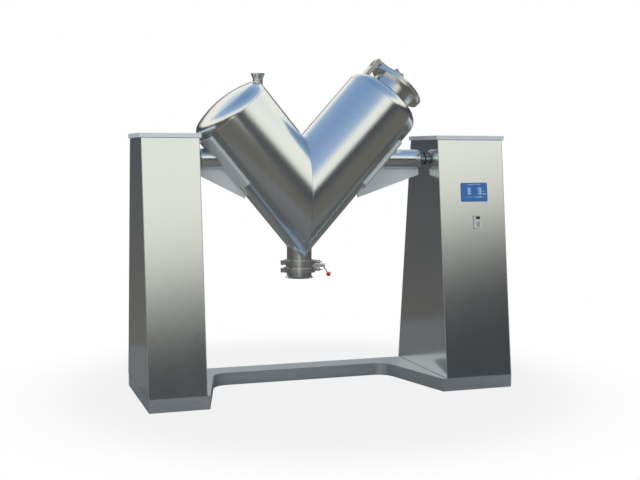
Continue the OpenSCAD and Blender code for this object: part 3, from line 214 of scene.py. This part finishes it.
# painted iron casting: sand texture under enamel
greenCasting = coated("greenEnamelCasting", "#1f4a3c", "#2b5f4d", (0.35, 0.5), 2.2, 0.12, 0.2)
greyPrimer = coated("greySteelPrimer", "#5c6165", "#6c7175", (0.45, 0.6), 1.4, 0.03)
blueEnamel = coated("blueMotorEnamel", "#1d4a86", "#2a5c9c", (0.25, 0.4), 2.0, 0.06, 0.3)
blackPaint = coated("satinBlackPaint", "#17181a", "#222427", (0.35, 0.5), 1.6, 0.02)
# nitrile rubber lip seal, polyurethane joint sealant and white silicone gasket
sealRubber = coated("nitrileRubber", "#101112", "#1c1d1e", (0.6, 0.75), 1.2, 0.02)
footSeal = coated("greyPolyurethaneSeal", "#4c5054", "#5b5f63", (0.5, 0.65), 1.5, 0.01)
whiteSilicone = coated("whiteSilicone", "#d8d8d2", "#e8e8e3", (0.42, 0.55), 1.5, 0.01)
# needle felt sleeve: fuzzy fibre
whiteFelt = coated("whiteNeedleFelt", "#cfcfc8", "#e4e4df", (0.85, 0.95), 0.8, 0.15, sheen=0.5)
# glossy moulded phenolic ball
redPhenolic = coated("redPhenolicBall", "#b3202a", "#c92b34", (0.12, 0.2), 3.0, 0.004, 0.5)

slotFinish = {"stainless_satin": brushedSheet, "stainless_polished": buffedVessel,
              "stainless_fittings": turnedFittings, "panel_blue": panelPaint, "button_grey": buttonPlastic,
              "relay_grey": relayPlastic, "block_green": greenCasting, "steel_frame": greyPrimer,
              "bearing_steel": groundSteel, "motor_blue": blueEnamel, "black_cover": blackPaint,
              "chain_steel": oiledSteel, "seal_rubber": sealRubber, "gasket_white": whiteSilicone,
              "filter_white": whiteFelt, "ball_red": redPhenolic}
# the stand caps and the saddles get the steel whose colour carries painted sky light
nodeFinish = {"left_plinth": foldedSheet, "drive_plinth": foldedSheet, "cross_beam": foldedSheet,
              "left_cap": paintedSkyCapSheet, "drive_cap": paintedSkyCapSheet, "left_saddle": paintedSkyCapSheet, "right_saddle": paintedSkyCapSheet,
              "outlet_neck": turnedFittings, "discharge_spout": turnedFittings,
              "manway_neck": turnedFittings, "lid": turnedFittings}
for part in frame["record"]["subparts"]:
    finish = nodeFinish.get(part["node"], slotFinish[part["material_slot"]])
    mesh = nodes[part["node"]].data
    mesh.materials.clear()
    mesh.materials.append(finish)

# the lever hangs from its hub down to a ball: the ball's faces are red, and the rod's and hub's are bright
leverBall = {"slice": 27, "radius": 14, "reach": 14.5}
lever = nodes["valve_lever"].data
lever.materials.append(turnedFittings)
lowest = min(lever.vertices, key=lambda v: v.co.z).co.z
near = [v.co for v in lever.vertices if v.co.z < lowest + leverBall["slice"] * mm]
ballCentre = Vector(((min(c.x for c in near) + max(c.x for c in near)) / 2,
                     (min(c.y for c in near) + max(c.y for c in near)) / 2, lowest + leverBall["radius"] * mm))
for face in lever.polygons:
    face.material_index = 0 if (face.center - ballCentre).length < leverBall["reach"] * mm else 1
print("finishes set on", len(nodes), "CAD nodes")


def addMesh(name, bm, finish, body):
    mesh = bpy.data.meshes.new(name)
    bmesh.ops.remove_doubles(bm, verts=bm.verts, dist=1e-6)
    bmesh.ops.recalc_face_normals(bm, faces=bm.faces)
    bm.to_mesh(mesh)
    bm.free()
    mesh.materials.append(finish)
    obj = bpy.data.objects.new(name, mesh)
    scene.collection.objects.link(obj)
    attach(obj, body)


# a plate with rounded corners and an eased edge on the drive stand's front, its middle at (across, along, out)
plateEdge = {"cornerSteps": 4, "straight": 0.6, "ease": 0.4}


def addPlate(bm, face, middle, width, height, thick, corner):
    steps = plateEdge["cornerSteps"]
    outline = []
    for cx, cy, start in ((1, 1, 0), (-1, 1, 90), (-1, -1, 180), (1, -1, 270)):
        for step in range(steps):
            a = math.radians(start + step * 90 / (steps - 1))
            outline.append((cx * (width / 2 - corner) + corner * math.cos(a),
                            cy * (height / 2 - corner) + corner * math.sin(a)))
    rings = []
    for inset, out in ((0, 0), (0, thick * plateEdge["straight"]), (min(plateEdge["ease"], corner / 2), thick)):
        wide, high = 1 - 2 * inset / width, 1 - 2 * inset / height
        rings.append([bm.verts.new(onFront(face, middle[0] + px * wide, middle[1] + py * high, middle[2] + out) * mm)
                      for px, py in outline])
    for low, high in zip(rings, rings[1:]):
        for i in range(len(outline)):
            j = (i + 1) % len(outline)
            bm.faces.new((low[i], low[j], high[j], high[i]))
    bm.faces.new(rings[0][::-1])
    bm.faces.new(rings[-1])


def socketId(tree, name):
    return next(item.identifier for item in tree.interface.items_tree
                if item.name == name and item.in_out == "INPUT")


def startTree(name, sizes):
    tree = bpy.data.node_groups.new(name, "GeometryNodeTree")
    tree.interface.new_socket("Geometry", in_out="INPUT", socket_type="NodeSocketGeometry")
    for size in sizes:
        tree.interface.new_socket(size, in_out="INPUT", socket_type="NodeSocketFloat")
    tree.interface.new_socket("Finish", in_out="INPUT", socket_type="NodeSocketMaterial")
    tree.interface.new_socket("Geometry", in_out="OUTPUT", socket_type="NodeSocketGeometry")
    return tree


def endTree(tree, geometry, finish):
    real = addNode(tree, "GeometryNodeRealizeInstances", {}, {"Geometry": geometry})
    paint = addNode(tree, "GeometryNodeSetMaterial", {}, {"Geometry": real.outputs[0], "Material": finish})
    addNode(tree, "NodeGroupOutput", {}, {"Geometry": paint.outputs[0]})
    return tree


# a washer, a head and a stud's end, stacked on each point and turned to the point's facing
def fastenerTree():
    tree = startTree("fastenersOnPoints", ("Head Radius", "Head Height", "Washer Radius", "Washer Height",
                                           "Stud Radius", "Stud Height"))
    tree.interface.new_socket("Head Sides", in_out="INPUT", socket_type="NodeSocketInt")
    given = addNode(tree, "NodeGroupInput").outputs
    join = addNode(tree, "GeometryNodeJoinGeometry")
    base = None
    for layer, sides in (("Washer", 24), ("Head", given["Head Sides"]), ("Stud", 16)):
        height = given[layer + " Height"]
        rod = addNode(tree, "GeometryNodeMeshCylinder", {},
                      {"Vertices": sides, "Radius": given[layer + " Radius"], "Depth": height})
        lift = addNode(tree, "ShaderNodeMath", {"operation": "MULTIPLY"}, {0: height, 1: 0.5}).outputs[0]
        if base is not None:
            lift = addNode(tree, "ShaderNodeMath", {"operation": "ADD"}, {0: lift, 1: base}).outputs[0]
            base = addNode(tree, "ShaderNodeMath", {"operation": "ADD"}, {0: height, 1: base}).outputs[0]
        else:
            base = height
        shift = addNode(tree, "ShaderNodeCombineXYZ", {}, {"Z": lift})
        moved = addNode(tree, "GeometryNodeTransform", {},
                        {"Geometry": rod.outputs["Mesh"], "Translation": shift.outputs[0]})
        tree.links.new(moved.outputs[0], join.inputs[0])
    facing = addNode(tree, "GeometryNodeInputNamedAttribute", {"data_type": "FLOAT_VECTOR"}, {"Name": "facing"})
    align = addNode(tree, "FunctionNodeAlignRotationToVector", {"axis": "Z"},
                    {"Vector": facing.outputs["Attribute"]})
    spread = addNode(tree, "GeometryNodeInstanceOnPoints", {},
                     {"Points": given["Geometry"], "Instance": join.outputs[0], "Rotation": align.outputs[0]})
    return endTree(tree, spread.outputs[0], given["Finish"])


# a round bead along each line, pushed about by noise with a fixed seed
beadLook = {"sides": 8, "seed": 7.0, "lumpsPerMetre": 400.0}


def beadTree():
    tree = startTree("weldBeadAlongLine", ("Bead Radius", "Ripple"))
    given = addNode(tree, "NodeGroupInput").outputs
    line = addNode(tree, "GeometryNodeMeshToCurve", {}, {"Mesh": given["Geometry"]})
    profile = addNode(tree, "GeometryNodeCurvePrimitiveCircle", {},
                      {"Resolution": beadLook["sides"], "Radius": given["Bead Radius"]})
    tube = addNode(tree, "GeometryNodeCurveToMesh", {},
                   {"Curve": line.outputs[0], "Profile Curve": profile.outputs[0], "Fill Caps": True})
    noise = addNode(tree, "ShaderNodeTexNoise", {"noise_dimensions": "4D"},
                    {"W": beadLook["seed"], "Scale": beadLook["lumpsPerMetre"], "Detail": 0.0})
    centred = addNode(tree, "ShaderNodeVectorMath", {"operation": "SUBTRACT"},
                      {0: noise.outputs["Color"], 1: (0.5, 0.5, 0.5)})
    scaled = addNode(tree, "ShaderNodeVectorMath", {"operation": "SCALE"},
                     {0: centred.outputs[0], "Scale": given["Ripple"]})
    uneven = addNode(tree, "GeometryNodeSetPosition", {},
                     {"Geometry": tube.outputs[0], "Offset": scaled.outputs[0]})
    return endTree(tree, uneven.outputs[0], given["Finish"])


fasteners = fastenerTree()
beads = beadTree()


def growMesh(name, points, edges, facing, tree, inputs, body, smooth):
    start = bpy.data.meshes.new(name + "Points")
    start.from_pydata([tuple(Vector(p) * mm) for p in points], edges, [])
    if facing:
        layer = start.attributes.new("facing", "FLOAT_VECTOR", "POINT")
        for item, way in zip(layer.data, facing):
            item.vector = Vector(way)
    obj = bpy.data.objects.new(name, start)
    scene.collection.objects.link(obj)
    grow = obj.modifiers.new("grow", "NODES")
    grow.node_group = tree
    for key, value in inputs.items():
        grow[socketId(tree, key)] = value
    bpy.context.view_layer.update()
    ready = bpy.data.meshes.new_from_object(obj.evaluated_get(bpy.context.evaluated_depsgraph_get()))
    obj.modifiers.clear()
    obj.data = ready
    ready.name = name
    if smooth:
        ready.shade_smooth()
    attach(obj, body)


def putFasteners(name, spots, sizes, finish, body):  # spots are pairs of place and facing
    inputs = {"Head Sides": sizes["sides"], "Finish": finish}
    for layer in ("Head", "Washer", "Stud"):
        inputs[layer + " Radius"] = sizes[layer.lower()] * mm
        inputs[layer + " Height"] = sizes[layer.lower() + "High"] * mm
    growMesh(name, [s[0] for s in spots], [], [s[1] for s in spots], fasteners, inputs, body, False)


def putBead(name, lines, radius, ripple, finish, body):  # lines are pairs of points and closed or not
    points, edges = [], []
    for line, closed in lines:
        first = len(points)
        points += line
        edges += [(first + i, first + i + 1) for i in range(len(line) - 1)]
        if closed:
            edges.append((len(points) - 1, first))
    inputs = {"Bead Radius": radius * mm, "Ripple": ripple * mm, "Finish": finish}
    growMesh(name, points, edges, None, beads, inputs, body, True)


# weld beads of the vessel: the mitre's stays open for openAngle on each side of the outlet
vesselWelds = {"mitreBead": 1.3, "headBead": 0.9, "neckBead": 2.2, "ripple": 0.25, "headRipple": 0.1,
               "openAngle": 17.5, "neckSink": 0.4, "steps": 180}


def mitreLine():
    half = math.radians((machine["leftLean"] + machine["rightLean"]) / 2)
    rise = legWay((machine["rightLean"] - machine["leftLean"]) / 2)
    clear, steps, radius = vesselWelds["openAngle"], vesselWelds["steps"], machine["legRadius"]
    line = []
    for i in range(steps + 1):
        turn = math.radians(-90 + clear + (360 - 2 * clear) * i / steps)
        line.append(vertex + rise * radius * math.sin(turn) / math.sin(half)
                    + Vector((0, radius * math.cos(turn), 0)))
    return line


def headLine(way, length):
    steps = vesselWelds["steps"]
    return [vertex + way * length
            + (acrossLeg(way) * math.cos(a) + Vector((0, 1, 0)) * math.sin(a)) * machine["legRadius"]
            for a in (2 * math.pi * i / steps for i in range(steps))]


def neckLine():
    line = []
    for i in range(vesselWelds["steps"]):
        a = 2 * math.pi * i / vesselWelds["steps"]
        x = machine["outletX"] + machine["neckRadius"] * math.cos(a) - vertex.x
        y = machine["neckRadius"] * math.sin(a)
        depth = math.sqrt(machine["legRadius"] ** 2 - y * y)
        left = (-depth - x * leftWay.z) / -leftWay.x
        right = (x * rightWay.z - depth) / rightWay.x
        line.append(vertex + Vector((x, y, max(left, right) - vesselWelds["neckSink"])))
    return line


headLines = [(headLine(leftWay, machine["leftLength"]), True), (headLine(rightWay, machine["rightLength"]), True)]
putBead("mitreWeld", [(mitreLine(), False)], vesselWelds["mitreBead"], vesselWelds["ripple"],
        weldMetal, "vessel")
putBead("headWelds", headLines, vesselWelds["headBead"], vesselWelds["headRipple"],
        weldMetal, "vessel")
putBead("neckWeld", [(neckLine(), True)], vesselWelds["neckBead"], vesselWelds["ripple"],
        weldMetal, "vessel")
print("vessel welds laid")

# ground corner welds of the stands, and the sealant where they meet the plinths
standTrim = {"corner": 2.0, "seal": 1.6, "ripple": 0.1, "cornerUp": 3, "cornerOut": 0.2, "cornerDown": 1,
             "sealOut": 0.5, "sealUp": 1}


def cornerLines():
    lines = []
    up, down, out = standTrim["cornerUp"], standTrim["cornerDown"], standTrim["cornerOut"]
    for x in machine["standX"]:
        for side in (-1, 1):
            foot = Vector((x, side * machine["baseHalf"], machine["plinthTop"] + up))
            foot += Vector((0, -side * math.tan(slope) * up, 0))
            lines.append(([foot, Vector((x, side * (machine["topHalf"] + out), machine["shellTop"] - down))], False))
    return lines


def sealLines():
    lines = []
    for a, b in (machine["standX"][:2], machine["standX"][2:]):
        h, z = machine["baseHalf"] + standTrim["sealOut"], machine["plinthTop"] + standTrim["sealUp"]
        lines.append(([Vector((a, -h, z)), Vector((b, -h, z)), Vector((b, h, z)), Vector((a, h, z))], True))
    return lines


putBead("standCornerWelds", cornerLines(), standTrim["corner"], standTrim["ripple"],
        weldMetal, "stands")
putBead("standFootSeals", sealLines(), standTrim["seal"], standTrim["ripple"], footSeal, "stands")
print("stand seams laid")

# the blue panel's printed bars as (across, along, width, height), with no lettering
panelPrint = {"x": 949, "z": 1241, "plate": 3, "thick": 0.15, "round": 0.5,
              "bars": ((2, 50, 90, 2), (4, -31, 132, 1.2), (34, -31, 36, 4.5), (70, -12, 22, 4), (66, 4, 8, 4))}
buttonPrint = {"plate": 6, "thick": 0.15, "round": 1.0, "bar": (15, 5.5), "rows": (-7.5, 6, 19.5),
               "across": {"start": -38, "stop": 41}}
# the timer's window and key block as (width, height, along), and its scale's marks
timerFace = {"x": 964, "z": 1054, "plate": 12, "sink": 4.9, "window": (29, 17, 24), "windowThick": 3.4,
             "windowRound": 1.5, "keys": (23, 29, -18), "keyGap": 2, "keyThick": 4.4, "keyRound": 1.2,
             "scaleMark": (5, 7), "scaleAcross": -19.5, "scaleFoot": -34, "scaleStep": 12, "scaleMarks": 5,
             "scaleThick": 0.2, "scaleRound": 0.6}


def makePanelPrint():
    bars = bmesh.new()
    for across, along, width, height in panelPrint["bars"]:
        addPlate(bars, panelPrint, (across, along, panelPrint["plate"]), width, height,
                 panelPrint["thick"], panelPrint["round"])
    addMesh("panelPrint", bars, printInk, "stands")
    for body, across in buttonPrint["across"].items():
        marks = bmesh.new()
        for along in buttonPrint["rows"]:
            addPlate(marks, panelPrint, (across, along, buttonPrint["plate"]), *buttonPrint["bar"],
                     buttonPrint["thick"], buttonPrint["round"])
        addMesh(body + "Marks", marks, printInk, body)


def makeTimerFace():
    low = timerFace["plate"] - timerFace["sink"]
    glass = bmesh.new()
    w, h, along = timerFace["window"]
    addPlate(glass, timerFace, (0, along, low), w, h, timerFace["windowThick"], timerFace["windowRound"])
    addMesh("relayWindow", glass, windowAcrylic, "stands")
    keys = bmesh.new()
    w, h, along = timerFace["keys"]
    for column in (-1, 1):
        for row in (-1, 0, 1):
            addPlate(keys, timerFace, (column * w / 4, along + row * h / 3, low), w / 2 - timerFace["keyGap"],
                     h / 3 - timerFace["keyGap"], timerFace["keyThick"], timerFace["keyRound"])
    addMesh("relayKeys", keys, keyPlastic, "stands")
    scale = bmesh.new()
    for row in range(timerFace["scaleMarks"]):
        along = timerFace["scaleFoot"] + row * timerFace["scaleStep"]
        addPlate(scale, timerFace, (timerFace["scaleAcross"], along, timerFace["plate"]), *timerFace["scaleMark"],
                 timerFace["scaleThick"], timerFace["scaleRound"])
    addMesh("relayScale", scale, printInk, "stands")


makePanelPrint()
makeTimerFace()
print("panel printed")

# screws and bolts: radii, heights and places in millimetres
panelScrew = {"head": 3.6, "headHigh": 1.8, "washer": 4.4, "washerHigh": 0.5, "stud": 1.6, "studHigh": 0.15,
              "sides": 20, "across": 83, "along": 50.5}
frontWay = (0, -math.cos(slope), math.sin(slope))
putFasteners("panelScrews",
             [(onFront(panelPrint, sx * panelScrew["across"], sy * panelScrew["along"], panelPrint["plate"]), frontWay)
              for sx in (-1, 1) for sy in (-1, 1)], panelScrew, panelPaint, "stands")

bearingBolt = {"head": 13, "headHigh": 10, "washer": 17, "washerHigh": 3, "stud": 8, "studHigh": 5, "sides": 6,
               "x": (-895, 775, 1090), "y": 96, "belowAxis": 48}
putFasteners("bearingBolts",
             [((x, side * bearingBolt["y"], machine["axisZ"] - bearingBolt["belowAxis"]), (0, 0, 1))
              for x in bearingBolt["x"] for side in (-1, 1)], bearingBolt, groundSteel, "stands")

footBolt = {"head": 7.5, "headHigh": 6, "washer": 10, "washerHigh": 1.6, "stud": 5, "studHigh": 3, "sides": 6,
            "x": (775, 835), "y": 96, "z": 738.3}
putFasteners("reducerFootBolts",
             [((x, side * footBolt["y"], footBolt["z"]), (0, 0, 1)) for x in footBolt["x"] for side in (-1, 1)],
             footBolt, groundSteel, "stands")

capScrew = {"head": 4.5, "headHigh": 2.2, "washer": 5.5, "washerHigh": 0.6, "stud": 1.8, "studHigh": 0.15,
            "sides": 20, "fromEdge": 60, "y": 221, "z": 1587}
putFasteners("capScrews",
             [((x, capScrew["y"], capScrew["z"]), (0, 1, 0))
              for low, high in (machine["standX"][:2], machine["standX"][2:])
              for x in (low + capScrew["fromEdge"], (low + high) / 2, high - capScrew["fromEdge"])],
             capScrew, turnedFittings, "stands")

hingeScrew = {"head": 2.8, "headHigh": 1.0, "washer": 3.2, "washerHigh": 0.5, "stud": 1.6, "studHigh": 0.15,
              "sides": 20, "x": 1162, "y": 221, "z": (300, 900), "apart": 22}
putFasteners("hingeScrews",
             [((hingeScrew["x"], hingeScrew["y"], z + side * hingeScrew["apart"]), (1, 0, 0))
              for z in hingeScrew["z"] for side in (-1, 1)],
             hingeScrew, turnedFittings, "stands")

portBolt = {"head": 4, "headHigh": 3, "washer": 5, "washerHigh": 0.8, "stud": 2.5, "studHigh": 1, "sides": 6,
            "x": -1110, "y": 376, "z": 900, "ring": 25}
putFasteners("portFlangeBolts",
             [((portBolt["x"] + portBolt["ring"] * math.cos(a), portBolt["y"],
                portBolt["z"] + portBolt["ring"] * math.sin(a)), (0, 1, 0))
              for a in (math.radians(45 + 90 * i) for i in range(4))],
             portBolt, turnedFittings, "stands")

pinCap = {"head": 8, "headHigh": 4, "washer": 10, "washerHigh": 1.5, "stud": 4, "studHigh": 1, "sides": 6,
          "across": -201, "along": 985, "y": 36}
hingePin = vertex + acrossLeg(rightWay) * pinCap["across"] + rightWay * pinCap["along"]
putFasteners("lidPinCaps", [(hingePin + Vector((0, side * pinCap["y"], 0)), (0, side, 0)) for side in (-1, 1)],
             pinCap, turnedFittings, "vessel")
print("fasteners placed")

# the fan cover's vent slots: rings of dark strips under its closed end
fanSlots = {"radii": (14, 24, 34, 44, 54), "first": 4, "more": 2, "share": 0.72, "width": 5, "deep": 0.4,
            "steps": 6}


def makeFanGrille():
    low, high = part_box("motor_fan_cover")
    bm = bmesh.new()
    cx, cy, z = (low.x + high.x) / 2, (low.y + high.y) / 2, low.z + fanSlots["deep"] * mm
    steps = fanSlots["steps"]
    for ring, radius in enumerate(fanSlots["radii"]):
        count = fanSlots["first"] + ring * fanSlots["more"]
        span = 2 * math.pi / count * fanSlots["share"]
        for i in range(count):
            inner, outer = [], []
            for step in range(steps + 1):
                a = 2 * math.pi * i / count + span * step / steps
                for edge, reach in ((inner, radius * mm), (outer, (radius + fanSlots["width"]) * mm)):
                    edge.append(bm.verts.new((cx + reach * math.cos(a), cy + reach * math.sin(a), z)))
            strip = [bm.faces.new((inner[s], inner[s + 1], outer[s + 1], outer[s])) for s in range(steps)]
            lifted = bmesh.ops.extrude_face_region(bm, geom=strip)["geom"]
            moved = [part for part in lifted if isinstance(part, bmesh.types.BMVert)]
            bmesh.ops.translate(bm, verts=moved, vec=(0, 0, -fanSlots["deep"] * mm))
    addMesh("fanGrille", bm, greyPrimer, "stands")


makeFanGrille()
print("fan grille made")

# the floor: grey in reflections, faded to white for the camera; sizes in metres
floorDisc = {"radius": 2.3, "sides": 96, "drop": 0.0005, "paint": "#6f7071", "rough": 0.8,
             "fadeFrom": 1.2, "fadeTo": 2.2, "whiteInside": 0.86, "whiteOutside": 1.0}


def makeFloor():
    bm = bmesh.new()
    bmesh.ops.create_circle(bm, cap_ends=True, segments=floorDisc["sides"], radius=floorDisc["radius"])
    bmesh.ops.translate(bm, verts=bm.verts, vec=(0, 0, -floorDisc["drop"]))
    mesh = bpy.data.meshes.new("studioFloor")
    bm.to_mesh(mesh)
    bm.free()
    floor = bpy.data.objects.new("studioFloor", mesh)
    scene.collection.objects.link(floor)
    mat, tree, shader, place = startMaterial("paleFloorPaint")
    fill(tree, shader, {"Base Color": srgb(floorDisc["paint"]), "Roughness": floorDisc["rough"]})
    path = addNode(tree, "ShaderNodeLightPath")
    white = addNode(tree, "ShaderNodeEmission", {}, {"Color": (1, 1, 1, 1), "Strength": 1.0})
    far = addNode(tree, "ShaderNodeVectorMath", {"operation": "LENGTH"}, {0: place})
    fade = addNode(tree, "ShaderNodeMapRange", {"interpolation_type": "SMOOTHSTEP"},
                   {"Value": far.outputs["Value"], "From Min": floorDisc["fadeFrom"],
                    "From Max": floorDisc["fadeTo"], "To Min": floorDisc["whiteInside"],
                    "To Max": floorDisc["whiteOutside"]})
    seen = addNode(tree, "ShaderNodeMath", {"operation": "MULTIPLY"},
                   {0: fade.outputs["Result"], 1: path.outputs["Is Camera Ray"]})
    mix = addNode(tree, "ShaderNodeMixShader", {},
                  {"Fac": seen.outputs[0], 1: shader.outputs[0], 2: white.outputs[0]})
    tree.links.new(mix.outputs[0], tree.nodes["Material Output"].inputs["Surface"])
    mesh.materials.append(mat)


# what the metal reflects: grey ground, a dark horizon that rises a little to the back right, pale haze and sky;
# the camera sees white, and diffuse light is one soft grey
surroundings = {"diffuse": "#d9dadb", "lean": (-0.05, -0.05, 0.5), "middle": 0.462,
                "bands": ((0.0, "#6b6a66"), (0.33, "#6b6a66"), (0.43, "#54575c"), (0.495, "#32363c"),
                          (0.537, "#32363c"), (0.575, "#fdfff8"), (0.68, "#fdfff8"), (0.77, "#a3bfe0"),
                          (1.0, "#6a8fc2"))}


def makeWorld():
    world = bpy.data.worlds.new("studioWorld")
    scene.world = world
    world.use_nodes = True
    tree = world.node_tree
    place = addNode(tree, "ShaderNodeTexCoord").outputs["Generated"]
    lean = addNode(tree, "ShaderNodeVectorMath", {"operation": "DOT_PRODUCT"}, {0: place, 1: surroundings["lean"]})
    height = addNode(tree, "ShaderNodeMath", {"operation": "ADD"},
                     {0: lean.outputs["Value"], 1: surroundings["middle"]})
    bands = addNode(tree, "ShaderNodeValToRGB", {}, {"Fac": height.outputs[0]},
                    [(at, srgb(colour)) for at, colour in surroundings["bands"]])
    path = addNode(tree, "ShaderNodeLightPath")
    soft = addNode(tree, "ShaderNodeMix", {"data_type": "RGBA"},
                   {"Factor": path.outputs["Is Diffuse Ray"], 6: bands.outputs["Color"],
                    7: srgb(surroundings["diffuse"])})
    straight = addNode(tree, "ShaderNodeMath", {"operation": "MAXIMUM"},
                       {0: path.outputs["Is Camera Ray"], 1: path.outputs["Is Transmission Ray"]})
    seen = addNode(tree, "ShaderNodeMix", {"data_type": "RGBA"},
                   {"Factor": straight.outputs[0], 6: soft.outputs[2], 7: (1, 1, 1, 1)})
    fill(tree, tree.nodes["Background"], {"Color": seen.outputs[2], "Strength": 1.0})


# places and sizes in metres; only the low front lamp shows in the metal, where it lights the outlet's middle
lamps = {"softKey": {"place": (-3.6, -4.6, 4.4), "aim": (0, 0, 1.0), "size": (3.0, 2.2), "watts": 190,
                     "colour": "#ffffff", "reflected": False},
         "frontStrip": {"place": (-2.25, -6.7, 0.45), "aim": (-0.14, 0, 0.95), "size": (2.4, 0.5), "watts": 6.0,
                        "colour": "#fffdf6", "reflected": True},
         "softBack": {"place": (3.2, 3.6, 4.2), "aim": (0, 0, 1.1), "size": (2.6, 2.0), "watts": 90,
                      "colour": "#ffffff", "reflected": False}}


def makeLamp(name, lamp):
    data = bpy.data.lights.new(name, "AREA")
    data.shape = "RECTANGLE"
    data.size, data.size_y = lamp["size"]
    data.energy = lamp["watts"]
    data.color = srgb(lamp["colour"])[:3]
    obj = bpy.data.objects.new(name, data)
    scene.collection.objects.link(obj)
    obj.location = lamp["place"]
    obj.visible_glossy = lamp["reflected"]
    obj.rotation_euler = (Vector(lamp["aim"]) - Vector(lamp["place"])).to_track_quat("-Z", "Y").to_euler()


makeFloor()
makeWorld()
for name, lamp in lamps.items():
    makeLamp(name, lamp)
print("studio lit")
